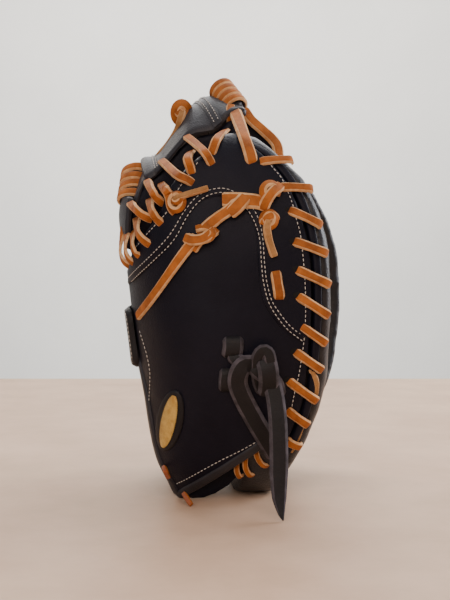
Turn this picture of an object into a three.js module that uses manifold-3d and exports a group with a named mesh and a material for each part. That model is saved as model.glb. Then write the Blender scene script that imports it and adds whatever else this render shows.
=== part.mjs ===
// A left-hand catcher's mitt that stands on its heel, in millimetres, +Z up.
// The pocket opens to +X, the back of the hand is at -X and the thumb side is at -Y.
import * as THREE from "three";
import { mergeVertices } from "three/addons/utils/BufferGeometryUtils.js";
import Module from "manifold-3d";

const wasm = await Module();
wasm.setup();

// Driving sizes of the leather body
const LOBE_HEIGHT = 280;
const BACK_REACH = 80;
const HALF_WIDTH = 105;
const THUMB_RIM_REACH = 74;
const FINGER_RIM_REACH = 100;
const PANEL_WALL = 3;
const POCKET_HALF_WIDTH = 84;
const RIM_CURL = 9;
const NOSE = 7;
const GAP = 0.3;

// Welt, bindings and strap
const ROLL_RADIUS = 3;
const ROLL_INSET = 9.5;
const PANEL_INSET = 14;
const BINDING_WIDTH = 6;
const BINDING_LIFT = 1.2;
const STRAP_WIDTH = 44;
const STRAP_LENGTH = 112;
const STRAP_WALL = 4;

// Web
const WEB_HALF_WIDTH = 42;
const WEB_WALL = 5;
const WEB_ARCH = 15;
const WEB_SLOT_HALF_WIDTH = 40;
const WEB_SLOT_HEIGHT = 186;

// Lacing
const LACE_WIDTH = 6;
const LACE_WALL = 2.2;
const LACE_DROP = 13;
const LACE_INSET = 24;
const LACE_TIP = 4;
const THUMB_LACES = 11;
const FINGER_LACES = 9;
const SEAT = 0.35;
const COIL_RADIUS = 9.5;
const COIL_WRAPS = 4;

// Thumb adjustment strap and embroidered patch
const ADJUSTER_WIDTH = 12;
const ADJUSTER_WALL = 2.6;
const ADJUSTER_KNOT = 24;
const PATCH_LENGTH = 48;
const PATCH_WIDTH = 19;
const PATCH_RIM = 3;
const PATCH_WALL = 1.4;

// Hand room, pocket, front of the panels and heel
const HAND_FRONT = 20;
const HAND_TOP_SHARE = 0.73;
const POCKET_LIP = 10;
const POCKET_ROUNDNESS = 2.2;
const FRONT_TOP_THUMB = 0.925;
const FRONT_TOP_FINGER = 0.96;
const FRONT_LOW = 0.135;
const ROLL_TOP_THUMB = 0.94;
const ROLL_TOP_FINGER = 0.975;
const ROLL_LOW = 0.1;
const STRAP_TOP_SHARE = 0.505;
const HEEL_FLAT = 18;
const HEEL_ROCKER = 0.0088;

// Sampling of curved faces, and places well outside the mitt for cutters
const LEVELS = 13;
const STEPS = 9;
const FRONT_STEPS = 14;
const ROLL_STEPS = 22;
const ROLL_SIDES = 8;
const FAR = 400;
const BELOW = -20;

// Body sections: height as a share of LOBE_HEIGHT, back of BACK_REACH, side of HALF_WIDTH,
// thumb and finger of their rim reaches, pocket of POCKET_HALF_WIDTH; floor and palm, the places
// of the pocket's bottom and of the palm's back, are shares of BACK_REACH.
const SECTIONS = [
  { height: 0.0, back: 0.62, side: 0.52, thumb: 0.49, finger: 0.4, pocket: 0.3, floor: 1.0, palm: 0.06 },
  { height: 0.05, back: 0.66, side: 0.63, thumb: 0.56, finger: 0.48, pocket: 0.36, floor: 0.85, palm: 0.06 },
  { height: 0.11, back: 0.73, side: 0.73, thumb: 0.68, finger: 0.62, pocket: 0.48, floor: 0.58, palm: 0.03 },
  { height: 0.2, back: 0.78, side: 0.84, thumb: 0.84, finger: 0.8, pocket: 0.68, floor: 0.2, palm: -0.12 },
  { height: 0.29, back: 0.81, side: 0.91, thumb: 0.94, finger: 0.92, pocket: 0.83, floor: 0.02, palm: -0.28 },
  { height: 0.4, back: 0.86, side: 0.97, thumb: 0.98, finger: 0.98, pocket: 0.94, floor: -0.1, palm: -0.41 },
  { height: 0.54, back: 0.92, side: 1.0, thumb: 1.0, finger: 1.0, pocket: 1.0, floor: -0.2, palm: -0.5 },
  { height: 0.68, back: 0.97, side: 0.99, thumb: 0.96, finger: 0.96, pocket: 0.99, floor: -0.27, palm: -0.57 },
  { height: 0.81, back: 1.0, side: 0.92, thumb: 0.8, finger: 0.81, pocket: 0.9, floor: -0.36, palm: -0.67 },
  { height: 0.9, back: 1.0, side: 0.84, thumb: 0.53, finger: 0.6, pocket: 0.78, floor: -0.45, palm: -0.75 },
  { height: 0.955, back: 1.0, side: 0.75, thumb: 0.2, finger: 0.38, pocket: 0.66, floor: -0.52, palm: -0.8 },
  { height: 1.0, back: 1.0, side: 0.66, thumb: 0.06, finger: 0.12, pocket: 0.56, floor: -0.56, palm: -0.85 },
];

// Upper edge of the thumb side from the back to its tip: reach as a share of BACK_REACH.
const THUMB_EDGE = [
  { reach: -1.1, height: 0.61 },
  { reach: -0.9, height: 0.613 },
  { reach: -0.81, height: 0.67 },
  { reach: -0.7, height: 0.705 },
  { reach: -0.56, height: 0.757 },
  { reach: -0.47, height: 0.82 },
  { reach: -0.28, height: 0.875 },
  { reach: -0.1, height: 0.917 },
  { reach: -0.03, height: 0.947 },
  { reach: 0.05, height: 0.955 },
  { reach: 0.13, height: 0.952 },
];

// The same edge on the finger side, whose lobe is taller.
const FINGER_EDGE = [
  { reach: -1.1, height: 0.61 },
  { reach: -0.9, height: 0.62 },
  { reach: -0.78, height: 0.7 },
  { reach: -0.62, height: 0.76 },
  { reach: -0.48, height: 0.83 },
  { reach: -0.32, height: 0.89 },
  { reach: -0.14, height: 0.95 },
  { reach: -0.02, height: 0.985 },
  { reach: 0.08, height: 0.995 },
  { reach: 0.2, height: 0.985 },
];

// Hand opening in the back: half its width as a share of HALF_WIDTH, by height.
const OPENING = [
  { height: -0.05, half: 0.45 },
  { height: 0.1, half: 0.47 },
  { height: 0.24, half: 0.48 },
  { height: 0.34, half: 0.42 },
  { height: 0.41, half: 0.3 },
  { height: 0.45, half: 0.12 },
];

// Wrist edge, from the low back corner up to the front: reach as a share of BACK_REACH.
const WRIST = [
  { reach: -0.41, height: 0.0 },
  { reach: 0.35, height: 0.155 },
];

// Ridge of the web at y = 0: reach as a share of BACK_REACH, height of LOBE_HEIGHT.
const WEB_UPPER_STEPS = 12;
const WEB_LOWER_STEPS = 10;
const WEB_UPPER_RIDGE = [
  { reach: -0.87, height: 0.88 },
  { reach: -0.83, height: 0.925 },
  { reach: -0.64, height: 0.952 },
  { reach: -0.45, height: 1.0 },
  { reach: -0.3, height: 1.043 },
  { reach: -0.12, height: 1.07 },
  { reach: 0.05, height: 1.075 },
  { reach: 0.18, height: 1.05 },
  { reach: 0.24, height: 1.02 },
];
const WEB_LOWER_RIDGE = [
  { reach: -0.99, height: 0.7 },
  { reach: -1.04, height: 0.74 },
  { reach: -1.06, height: 0.79 },
  { reach: -1.05, height: 0.84 },
  { reach: -1.0, height: 0.87 },
];

// Lace wraps on the web: centre and axis in the side view.
const TOP_COIL = { reach: 0.03, height: 1.095, along: [0.84, -0.54] };
const BACK_COIL = { reach: -0.94, height: 0.86, along: [0.15, 0.99] };

// Rim lacing by the height of a lace's end: drop is a share of LACE_DROP, inset of LACE_INSET.
const RIM_LACING = [
  { height: 0.16, drop: 0.2, inset: 0.58 },
  { height: 0.22, drop: 0.8, inset: 0.75 },
  { height: 0.3, drop: 1.05, inset: 0.88 },
  { height: 0.5, drop: 1.0, inset: 0.9 },
  { height: 0.65, drop: 0.65, inset: 0.95 },
  { height: 0.72, drop: 0.7, inset: 1.0 },
  { height: 0.8, drop: 0.0, inset: 0.95 },
  { height: 0.88, drop: 0.0, inset: 0.95 },
];

// Heel lacing on the thumb side, and laces from the web's edge to the thumb side: both ends as
// shares of BACK_REACH and LOBE_HEIGHT.
const HEEL_LACES = [
  { from: [0.27, 0.118], to: [0.37, 0.075] },
  { from: [0.19, 0.095], to: [0.3, 0.05] },
  { from: [0.12, 0.082], to: [0.18, 0.045] },
];
const WEB_LACES = [
  { from: [-0.34, 0.955], over: [-0.2, 0.905], to: [-0.09, 0.86] },
  { from: [-0.02, 0.975], over: [-0.06, 0.94], to: [-0.09, 0.905] },
  { from: [-0.57, 0.892], over: [-0.42, 0.85], to: [-0.25, 0.81] },
  { from: [-0.33, 0.916], over: [-0.3, 0.89], to: [-0.27, 0.862], sink: 0.9 },
  { from: [-0.71, 0.839], over: [-0.62, 0.8], to: [-0.55, 0.774] },
  { from: [-0.58, 0.831], over: [-0.53, 0.805], to: [-0.45, 0.785] },
  { from: [-0.88, 0.785], over: [-0.76, 0.75], to: [-0.665, 0.732] },
  { from: [-0.7, 0.789], over: [-0.62, 0.765], to: [-0.53, 0.714] },
];
const TOP_LACE = { from: [0.09, 1.0], over: [0.15, 0.945], to: [0.2, 0.866] };
const CORNER_LACES = [
  { from: [-0.98, 0.72], over: [-0.97, 0.66], to: [-0.9, 0.605], side: 0.6 },
  { from: [-0.95, 0.715], over: [-0.92, 0.66], to: [-0.86, 0.607], side: 0.78, sink: 0.9 },
  { from: [-0.88, 0.725], over: [-0.87, 0.665], to: [-0.8, 0.615], side: 0.95 },
];

// Knots on the thumb panel: centre, width, height and how proud; strands are runs of a lace.
const KNOTS = [
  {
    name: "lace_knot_upper", at: [-0.4, 0.768], width: 15, height: 15, proud: 7,
    strands: [{ from: [-0.4, 0.7725], to: [-0.146, 0.802], width: 5 }],
  },
  {
    name: "lace_knot_rim", at: [0.371, 0.787], width: 14, height: 15, proud: 8,
    strands: [
      { from: [0.365, 0.785], to: [-0.026, 0.777], width: 9.5 },
      { from: [0.15, 0.775], to: [0.02, 0.7325], width: 9 },
    ],
  },
  {
    name: "lace_knot_middle", at: [-0.214, 0.693], width: 24, height: 16, proud: 8,
    strands: [
      { from: [-0.22, 0.693], to: [-0.776, 0.4875], width: 6.5 },
      { from: [-0.21, 0.694], to: [-0.05, 0.735], width: 6.5 },
    ],
  },
  {
    name: "lace_knot_lower", at: [0.369, 0.724], width: 13, height: 12, proud: 8,
    strands: [{ from: [0.369, 0.722], to: [0.41, 0.637], width: 6 }],
  },
];
const STITCH = { from: [0.401, 0.603], to: [0.505, 0.537] };

// Adjustment strap on the thumb panel, in the same shares.
const LOOPS = [
  { name: "strap_loop_upper", from: [0.069, 0.442], to: [0.069, 0.396] },
  { name: "strap_loop_lower", from: [0.026, 0.361], to: [0.026, 0.314] },
];
const ADJUSTER_AT = [0.3, 0.362];
const BAND = { from: [0.086, 0.3], to: [0.435, 0.138] };
const TAIL = [
  { reach: 0.34, height: 0.33, out: 0.9 },
  { reach: 0.38, height: 0.24, out: 0.97 },
  { reach: 0.43, height: 0.14, out: 1.02 },
  { reach: 0.47, height: 0.06, out: 1.05 },
  { reach: 0.49, height: 0.004, out: 1.06 },
];
const PATCH = { at: [-0.49, 0.222], lean: 0.22 };

const BLACK = new THREE.MeshStandardMaterial({ color: 0x1d1d24, roughness: 0.55, metalness: 0 });
const LACE = new THREE.MeshStandardMaterial({ color: 0xb5692a, roughness: 0.6, metalness: 0 });
const STRAP = new THREE.MeshStandardMaterial({ color: 0x19181c, roughness: 0.7, metalness: 0 });
const GOLD = new THREE.MeshStandardMaterial({ color: 0xc29a4f, roughness: 0.5, metalness: 0.2 });

const mitt = new THREE.Group();

function place(name, geometry, material) {
  const mesh = new THREE.Mesh(geometry, material);
  mesh.name = name;
  mitt.add(mesh);
}

// A value from a table's column at any height, with smooth slopes between the rows.
function column(rows, key, height) {
  const last = rows.length - 1;
  let i = 0;
  while (i < last - 1 && height > rows[i + 1].height) i += 1;
  const slope = (k) => {
    const low = rows[Math.max(k - 1, 0)];
    const high = rows[Math.min(k + 1, last)];
    return (high[key] - low[key]) / (high.height - low.height);
  };
  const span = rows[i + 1].height - rows[i].height;
  const t = THREE.MathUtils.clamp((height - rows[i].height) / span, 0, 1);
  const a = rows[i][key];
  const b = rows[i + 1][key];
  const blend = t * t * (3 - 2 * t);
  const bowA = t * (1 - t) * (1 - t) * span * slope(i);
  const bowB = t * t * (t - 1) * span * slope(i + 1);
  return a + (b - a) * blend + bowA + bowB;
}

const section = (key, z) => column(SECTIONS, key, z / LOBE_HEIGHT);
const backAt = (z) => -BACK_REACH * section("back", z);
const sideAt = (z) => HALF_WIDTH * section("side", z);
const floorAt = (z) => BACK_REACH * section("floor", z);
const pocketAt = (z) => POCKET_HALF_WIDTH * section("pocket", z);
const WIDEST_SHARE = 0.47;
const BACK_SQUARENESS = 2.4;

function rimAt(side, z) {
  return side < 0 ? THUMB_RIM_REACH * section("thumb", z) : FINGER_RIM_REACH * section("finger", z);
}

// Point of the outer surface: side -1 is the thumb side, u runs from the back (0) to the rim (1).
function outer(side, u, z, inward = 0) {
  const back = backAt(z);
  const rim = rimAt(side, z);
  const widest = back + WIDEST_SHARE * (rim - back);
  if (u < 0.5) {
    const angle = u * Math.PI;
    const x = widest - (widest - back - inward) * Math.cos(angle) ** (2 / BACK_SQUARENESS);
    const y = side * (sideAt(z) - inward) * Math.sin(angle) ** (2 / BACK_SQUARENESS);
    return new THREE.Vector3(x, y, z);
  }
  const q = 2 * u - 1;
  const wide = sideAt(z) - inward - RIM_CURL * q * q;
  return new THREE.Vector3(widest + (rim - widest) * q, side * wide, z);
}

// The outer surface's y over a place of the side view, and the outward normal there.
function sideY(side, x, z) {
  const back = backAt(z);
  const rim = rimAt(side, z);
  const widest = back + WIDEST_SHARE * (rim - back);
  if (x < widest) {
    const share = THREE.MathUtils.clamp((widest - x) / (widest - back), 0, 1);
    return side * sideAt(z) * (1 - share ** BACK_SQUARENESS) ** (1 / BACK_SQUARENESS);
  }
  return side * (sideAt(z) - RIM_CURL * ((x - widest) / (rim - widest)) ** 2);
}

function sideNormal(side, x, z) {
  const e = 0.5;
  const dx = (sideY(side, x + e, z) - sideY(side, x - e, z)) / (2 * e);
  const dz = (sideY(side, x, z + e) - sideY(side, x, z - e)) / (2 * e);
  return new THREE.Vector3(-side * dx, side, -side * dz).normalize();
}

function onSide(side, x, z, lift) {
  return new THREE.Vector3(x, sideY(side, x, z), z).addScaledVector(sideNormal(side, x, z), lift);
}

function geometryFrom(points, index) {
  const geometry = new THREE.BufferGeometry();
  const flat = points.flatMap((p) => [p.x, p.y, p.z]);
  geometry.setAttribute("position", new THREE.Float32BufferAttribute(flat, 3));
  geometry.setIndex(index);
  return geometry;
}

// The triangles of a closed body, turned so that they all face out.
function turnedOut(points, index) {
  let volume = 0;
  for (let i = 0; i < index.length; i += 3) {
    const [a, b, c] = [points[index[i]], points[index[i + 1]], points[index[i + 2]]];
    volume += a.dot(b.clone().cross(c));
  }
  return volume < 0 ? index.reverse() : index;
}

// Closed body through rings of equally many points.
function loft(rings) {
  const count = rings[0].length;
  const points = rings.flat();
  const index = [];
  for (let r = 0; r + 1 < rings.length; r += 1) {
    for (let i = 0; i < count; i += 1) {
      const a = r * count + i;
      const b = r * count + ((i + 1) % count);
      index.push(a, b, a + count, b, b + count, a + count);
    }
  }
  const middle = (ring) => ring.reduce((sum, p) => sum.add(p), new THREE.Vector3()).divideScalar(count);
  const first = points.push(middle(rings[0])) - 1;
  const last = points.push(middle(rings[rings.length - 1])) - 1;
  const top = (rings.length - 1) * count;
  for (let i = 0; i < count; i += 1) {
    const next = (i + 1) % count;
    index.push(first, next, i, last, top + i, top + next);
  }
  return geometryFrom(points, turnedOut(points, index));
}

function solid(geometry) {
  const bare = geometry.clone();
  bare.deleteAttribute("normal");
  bare.deleteAttribute("uv");
  const merged = mergeVertices(bare, 1e-4);
  const mesh = new wasm.Mesh({
    numProp: 3,
    vertProperties: new Float32Array(merged.attributes.position.array),
    triVerts: new Uint32Array(merged.index.array),
  });
  return new wasm.Manifold(mesh);
}

function geometryOf(body) {
  const mesh = body.getMesh();
  const geometry = new THREE.BufferGeometry();
  geometry.setAttribute("position", new THREE.BufferAttribute(mesh.vertProperties, 3));
  geometry.setIndex(new THREE.BufferAttribute(mesh.triVerts, 1));
  geometry.computeVertexNormals();
  return geometry;
}

// Solid over an outline of the side view, for one side of the mitt.
function sidePrism(side, outline) {
  const shape = new THREE.Shape(outline.map(([x, z]) => new THREE.Vector2(x, z)));
  const geometry = new THREE.ExtrudeGeometry(shape, { depth: FAR, bevelEnabled: false });
  geometry.rotateX(Math.PI / 2);
  if (side > 0) geometry.translate(0, FAR, 0);
  return solid(geometry);
}

// Solid over an outline of the front view, between two x values.
function frontPrism(outline, from, to) {
  const shape = new THREE.Shape(outline.map(([y, z]) => new THREE.Vector2(y, z)));
  const geometry = new THREE.ExtrudeGeometry(shape, { depth: to - from, bevelEnabled: false });
  const turn = new THREE.Matrix4();
  turn.makeBasis(new THREE.Vector3(0, 1, 0), new THREE.Vector3(0, 0, 1), new THREE.Vector3(1, 0, 0));
  geometry.applyMatrix4(turn);
  geometry.translate(from, 0, 0);
  return solid(geometry);
}

const levels = Array.from({ length: LEVELS }, (_, i) => (i / (LEVELS - 1)) * LOBE_HEIGHT);

// One horizontal ring of the body, an inward step inside the outer surface; open says that it
// runs on past the rim, for a cutter.
function bodyRing(z, inward, open) {
  const ring = [];
  const steps = Array.from({ length: STEPS }, (_, i) => i / STEPS);
  const reach = open ? FAR / 2 : 0;
  for (const side of [1, -1]) {
    const half = steps.map((u) => outer(side, u, z, inward));
    const rim = rimAt(side, z);
    const tip = outer(side, 1, z, inward);
    const noseX = rim - (open ? 0 : NOSE);
    half.push(new THREE.Vector3(Math.max(noseX, half[STEPS - 1].x + 0.1), side * Math.abs(tip.y), z));
    half.push(new THREE.Vector3(rim - (open ? 0 : 0.3 * NOSE), tip.y - side * 0.3 * NOSE, z));
    half.push(new THREE.Vector3(rim + reach, tip.y - side * NOSE, z));
    ring.push(...(side > 0 ? half.reverse() : half.slice(1)));
  }
  return ring;
}

// One horizontal ring of a trough that opens to +X: its bottom, half width and centre; past the
// centre its mouth widens by a flare.
function troughRing(z, bottom, half, centre, squareness, flare) {
  const ring = [];
  const steps = Array.from({ length: STEPS + 1 }, (_, i) => i / STEPS);
  for (const side of [1, -1]) {
    const arc = steps.map((u) => {
      const angle = (u * Math.PI) / 2;
      const x = centre - (centre - bottom) * Math.cos(angle) ** (2 / squareness);
      return new THREE.Vector3(x, side * half * Math.sin(angle) ** (2 / squareness), z);
    });
    arc.push(new THREE.Vector3(centre + 1, side * (half + flare), z));
    arc.push(new THREE.Vector3(FAR / 2, side * (half + flare), z));
    ring.push(...(side > 0 ? arc.reverse() : arc.slice(1)));
  }
  return ring;
}


function pocketRing(z) {
  const bottom = floorAt(z);
  const centre = Math.max(rimAt(-1, z) - POCKET_LIP, bottom + 2);
  return troughRing(z, bottom, pocketAt(z), centre, POCKET_ROUNDNESS, 0.5);
}

function palmRing(z) {
  const back = BACK_REACH * section("palm", z);
  return troughRing(z, back, sideAt(z) - PANEL_WALL, HAND_FRONT, 2, 2 * PANEL_WALL);
}

const reachHeight = (rows) => rows.map((row) => [row.reach * BACK_REACH, row.height * LOBE_HEIGHT]);
const thumbEdge = reachHeight(THUMB_EDGE);
const fingerEdge = reachHeight(FINGER_EDGE);
const wristEdge = reachHeight(WRIST);

// Line in front of which a side's back panel ends and its welt and palm rim begin.
function frontLine(side, inset) {
  const top = side < 0 ? FRONT_TOP_THUMB : FRONT_TOP_FINGER;
  const step = (FRONT_LOW - top) / (FRONT_STEPS - 1);
  const shares = Array.from({ length: FRONT_STEPS }, (_, i) => top + step * i);
  return shares.map((share) => [rimAt(side, share * LOBE_HEIGHT) - inset, share * LOBE_HEIGHT]);
}

// Side view outline of everything below a side's upper edge.
function lobeOutline(edge) {
  return [...edge, [FAR, edge[edge.length - 1][1]], [FAR, BELOW], [edge[0][0], BELOW]];
}

function panelOutline(edge, side, trim) {
  const [low, high] = wristEdge;
  const slope = (high[1] - low[1]) / (high[0] - low[0]);
  const rise = trim * Math.hypot(1, slope);
  const far = low[1] + rise - slope * (low[0] - edge[0][0]);
  const wrist = [[high[0], high[1] + rise], [low[0], low[1] + rise], [edge[0][0], far]];
  return [...edge, ...frontLine(side, PANEL_INSET), ...wrist];
}

function openingOutline(grow) {
  const right = OPENING.map((row) => [row.half * HALF_WIDTH + grow, row.height * LOBE_HEIGHT]);
  const last = OPENING[OPENING.length - 1];
  const crown = [[0, (last.height + 0.012) * LOBE_HEIGHT + grow]];
  const lifted = right.map(([y, z], i) => [y, i < 3 ? z : z + 0.5 * grow]);
  return [...lifted, ...crown, ...lifted.map(([y, z]) => [-y, z]).reverse()];
}

const body = solid(loft(levels.map((z) => bodyRing(z, 0, false))));
const cover = solid(loft(levels.map((z) => bodyRing(z, -BINDING_LIFT, false))));
const inside = solid(loft(levels.map((z) => bodyRing(z, PANEL_WALL + GAP, false))));
// Cutters run a little past the body below and above.
const cutLevels = levels.map((z) => z);
cutLevels[0] -= 5;
cutLevels[LEVELS - 1] += 30;
const hollow = solid(loft(cutLevels.map((z) => bodyRing(z, PANEL_WALL, true))));
const pocket = solid(loft(cutLevels.slice(1).map(pocketRing)));
const palm = solid(loft(cutLevels.map(palmRing)));
const lobes = sidePrism(-1, lobeOutline(thumbEdge)).add(sidePrism(1, lobeOutline(fingerEdge)));

function rimBand(side) {
  const line = frontLine(side, ROLL_INSET - 2);
  const top = line[0];
  const bottom = line[line.length - 1];
  const corners = [[FAR, FAR], [top[0] - PANEL_INSET, FAR]];
  return sidePrism(side, [...corners, ...line, [bottom[0], BELOW], [FAR, BELOW]]);
}

function rollGeometry(side, radius) {
  const top = side < 0 ? ROLL_TOP_THUMB : ROLL_TOP_FINGER;
  const points = Array.from({ length: 12 }, (_, i) => {
    const z = (ROLL_LOW + ((top - ROLL_LOW) * i) / 11) * LOBE_HEIGHT;
    const x = rimAt(side, z) - ROLL_INSET;
    return onSide(side, x, z, -ROLL_RADIUS - GAP);
  });
  const path = new THREE.CatmullRomCurve3(points);
  const ring = Array.from({ length: ROLL_SIDES }, (_, i) => {
    const angle = (i / ROLL_SIDES) * 2 * Math.PI;
    return new THREE.Vector2(radius * Math.cos(angle), radius * Math.sin(angle));
  });
  const options = { steps: ROLL_STEPS, extrudePath: path, bevelEnabled: false };
  return new THREE.ExtrudeGeometry(new THREE.Shape(ring), options);
}

// Cutter for the slot between thumb and fingers that the web fills.
const slotRound = Array.from({ length: 9 }, (_, i) => {
  const angle = Math.PI * (1 + i / 8);
  const rise = WEB_SLOT_HALF_WIDTH * (1 + Math.sin(angle));
  return [WEB_SLOT_HALF_WIDTH * Math.cos(angle), WEB_SLOT_HEIGHT + rise];
});
const slotTop = [[WEB_SLOT_HALF_WIDTH, FAR], [-WEB_SLOT_HALF_WIDTH, FAR]];
const slot = frontPrism([...slotRound, ...slotTop], -FAR, FAR);

// The heel: flat in the middle, then rising to both sides.
const rocker = (y) => HEEL_ROCKER * (Math.abs(y) - HEEL_FLAT) ** 2;
const heelYs = Array.from({ length: 9 }, (_, i) => HEEL_FLAT + i * 10);
const heelRight = heelYs.map((y) => [y, rocker(y)]);
const heelLeft = heelRight.map(([y, z]) => [-y, z]).reverse();
const heel = [...heelRight, [heelYs[8], FAR], [-heelYs[8], FAR], ...heelLeft];

// Above the hand's room the pad fills the whole shell.
const roofAt = HAND_TOP_SHARE * LOBE_HEIGHT;
const handRoof = frontPrism([[-FAR, roofAt], [FAR, roofAt], [FAR, FAR], [-FAR, FAR]], -FAR, FAR);
const rimBands = rimBand(-1).add(rimBand(1));
const thumbGroove = solid(rollGeometry(-1, ROLL_RADIUS + GAP));
const fingerGroove = solid(rollGeometry(1, ROLL_RADIUS + GAP));
const padBody = inside.add(body.intersect(rimBands));
const pad = padBody
  .intersect(palm.add(handRoof))
  .subtract(pocket)
  .subtract(slot)
  .intersect(lobes)
  .intersect(frontPrism(heel, -FAR, FAR))
  .subtract(thumbGroove)
  .subtract(fingerGroove);
place("palm_pad", geometryOf(pad), BLACK);
place("thumb_rim_roll", rollGeometry(-1, ROLL_RADIUS), BLACK);
place("finger_rim_roll", rollGeometry(1, ROLL_RADIUS), BLACK);

const shell = body.subtract(hollow);
const opening = frontPrism(openingOutline(BINDING_WIDTH + GAP), -FAR, -10);
const panelTrim = BINDING_WIDTH + GAP;
const thumbPanel = shell.intersect(sidePrism(-1, panelOutline(thumbEdge, -1, panelTrim))).subtract(opening);
const fingerPanel = shell.intersect(sidePrism(1, panelOutline(fingerEdge, 1, panelTrim))).subtract(opening);
const seam = frontPrism([[-GAP, BELOW], [GAP, BELOW], [GAP, FAR], [-GAP, FAR]], -FAR, FAR);
place("thumb_panel", geometryOf(thumbPanel.subtract(seam).subtract(thumbGroove)), BLACK);
place("finger_panel", geometryOf(fingerPanel.subtract(seam).subtract(fingerGroove)), BLACK);

// Bindings: a tape over the panels' wrist edges and round the hand opening.
const tape = cover.subtract(hollow);

function wristStrip(side) {
  const [low, high] = wristEdge;
  const slope = (high[1] - low[1]) / (high[0] - low[0]);
  const rise = BINDING_WIDTH * Math.hypot(1, slope);
  const at = (x, lift) => [x, low[1] + slope * (x - low[0]) + lift];
  const start = low[0] - 5 * BINDING_WIDTH;
  return sidePrism(side, [at(start, 0), high, [high[0], high[1] + rise], at(start, rise)]);
}

const ring = frontPrism(openingOutline(BINDING_WIDTH), -FAR, -10);
const hole = frontPrism(openingOutline(0), -FAR, -10);
const underWrist = (side) => {
  const [low, high] = wristEdge;
  const slope = (high[1] - low[1]) / (high[0] - low[0]);
  const at = (x) => [x, low[1] + slope * (x - low[0])];
  return sidePrism(side, [at(-FAR), at(FAR), [FAR, -FAR], [-FAR, -FAR]]);
};
const binding = tape
  .intersect(ring.add(wristStrip(-1)).add(wristStrip(1)))
  .subtract(hole)
  .subtract(underWrist(-1))
  .subtract(underWrist(1));
place("wrist_binding", geometryOf(binding), BLACK);

// Strap across the back of the hand, over the top of the opening.
const strapIn = solid(loft(levels.map((z) => bodyRing(z, -BINDING_LIFT - GAP, true))));
const strapOut = solid(loft(levels.map((z) => bodyRing(z, -BINDING_LIFT - GAP - STRAP_WALL, false))));
const strapTop = STRAP_TOP_SHARE * LOBE_HEIGHT;
const strapLow = strapTop - STRAP_WIDTH;
const half = STRAP_LENGTH / 2;
const strapSide = [[-half, strapTop], [-half, strapLow], [half, strapLow], [half, strapTop]];
const backStrap = strapOut.subtract(strapIn).intersect(frontPrism(strapSide, -FAR, 0));
place("back_strap", geometryOf(backStrap), BLACK);

// Closed arched sheet of the web: along the ridge and across from the thumb to the finger side.
function webSheet(rows, sag, along) {
  const ridge = new THREE.CatmullRomCurve3(reachHeight(rows).map(([x, z]) => new THREE.Vector3(x, 0, z)));
  const cells = 8;
  const rings = [];
  for (let i = 0; i <= along; i += 1) {
    const point = ridge.getPoint(i / along);
    const tangent = ridge.getTangent(i / along);
    const normal = new THREE.Vector3(-tangent.z, 0, tangent.x);
    const row = (lift, q) => {
      const across = new THREE.Vector3(0, WEB_HALF_WIDTH * q, 0);
      return point.clone().addScaledVector(normal, lift - sag * q * q).add(across);
    };
    const qs = Array.from({ length: cells + 1 }, (_, k) => (2 * k) / cells - 1);
    rings.push([...qs.map((q) => row(0, q)), ...qs.reverse().map((q) => row(-WEB_WALL, q))]);
  }
  return loft(rings);
}

// Roll of lace wraps with a bulge for each wrap, along an axis in the side view.
function coil(spec, radius) {
  const pitch = LACE_WIDTH;
  const groove = radius - 1.6;
  const length = COIL_WRAPS * pitch;
  const profile = [new THREE.Vector2(0, -length / 2)];
  for (let i = 0; i < COIL_WRAPS; i += 1) {
    const start = i * pitch - length / 2;
    profile.push(new THREE.Vector2(groove, start + 0.08 * pitch));
    profile.push(new THREE.Vector2(radius, start + 0.35 * pitch));
    profile.push(new THREE.Vector2(radius, start + 0.65 * pitch));
    profile.push(new THREE.Vector2(groove, start + 0.92 * pitch));
  }
  profile.push(new THREE.Vector2(0, length / 2));
  const geometry = new THREE.LatheGeometry(profile, 12);
  const axis = new THREE.Vector3(spec.along[0], 0, spec.along[1]).normalize();
  geometry.applyQuaternion(new THREE.Quaternion().setFromUnitVectors(new THREE.Vector3(0, 1, 0), axis));
  geometry.translate(spec.reach * BACK_REACH, 0, spec.height * LOBE_HEIGHT);
  return geometry;
}

// Plain round room that a coil's wraps take out of the web.
function coilRoom(spec) {
  const length = COIL_WRAPS * LACE_WIDTH + 2 * GAP;
  const radius = COIL_RADIUS + GAP;
  const geometry = new THREE.CylinderGeometry(radius, radius, length, 12);
  const axis = new THREE.Vector3(spec.along[0], 0, spec.along[1]).normalize();
  geometry.applyQuaternion(new THREE.Quaternion().setFromUnitVectors(new THREE.Vector3(0, 1, 0), axis));
  geometry.translate(spec.reach * BACK_REACH, 0, spec.height * LOBE_HEIGHT);
  return solid(geometry);
}

const coilRooms = coilRoom(TOP_COIL).add(coilRoom(BACK_COIL));
const webUpper = solid(webSheet(WEB_UPPER_RIDGE, WEB_ARCH, WEB_UPPER_STEPS)).subtract(coilRooms);
const webLower = solid(webSheet(WEB_LOWER_RIDGE, WEB_ARCH, WEB_LOWER_STEPS)).subtract(coilRooms);
place("web_upper", geometryOf(webUpper), BLACK);
place("web_lower", geometryOf(webLower), BLACK);
place("web_top_coil", coil(TOP_COIL, COIL_RADIUS), LACE);
place("web_back_coil", coil(BACK_COIL, COIL_RADIUS), LACE);

// Flat strap through points, with its face along a normal at each point.
function strap(points, normals, width, wall) {
  const rings = points.map((point, i) => {
    const before = points[Math.max(i - 1, 0)];
    const after = points[Math.min(i + 1, points.length - 1)];
    const tangent = after.clone().sub(before).normalize();
    const across = tangent.clone().cross(normals[i]).normalize();
    const face = across.clone().cross(tangent).normalize();
    const corner = (a, b) => {
      const edge = point.clone().addScaledVector(across, (a * width) / 2);
      return edge.addScaledVector(face, (b * wall) / 2);
    };
    return [corner(-1, -1), corner(1, -1), corner(1, 1), corner(-1, 1)];
  });
  return loft(rings);
}

function share(pair) {
  return [pair[0] * BACK_REACH, pair[1] * LOBE_HEIGHT];
}

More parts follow.
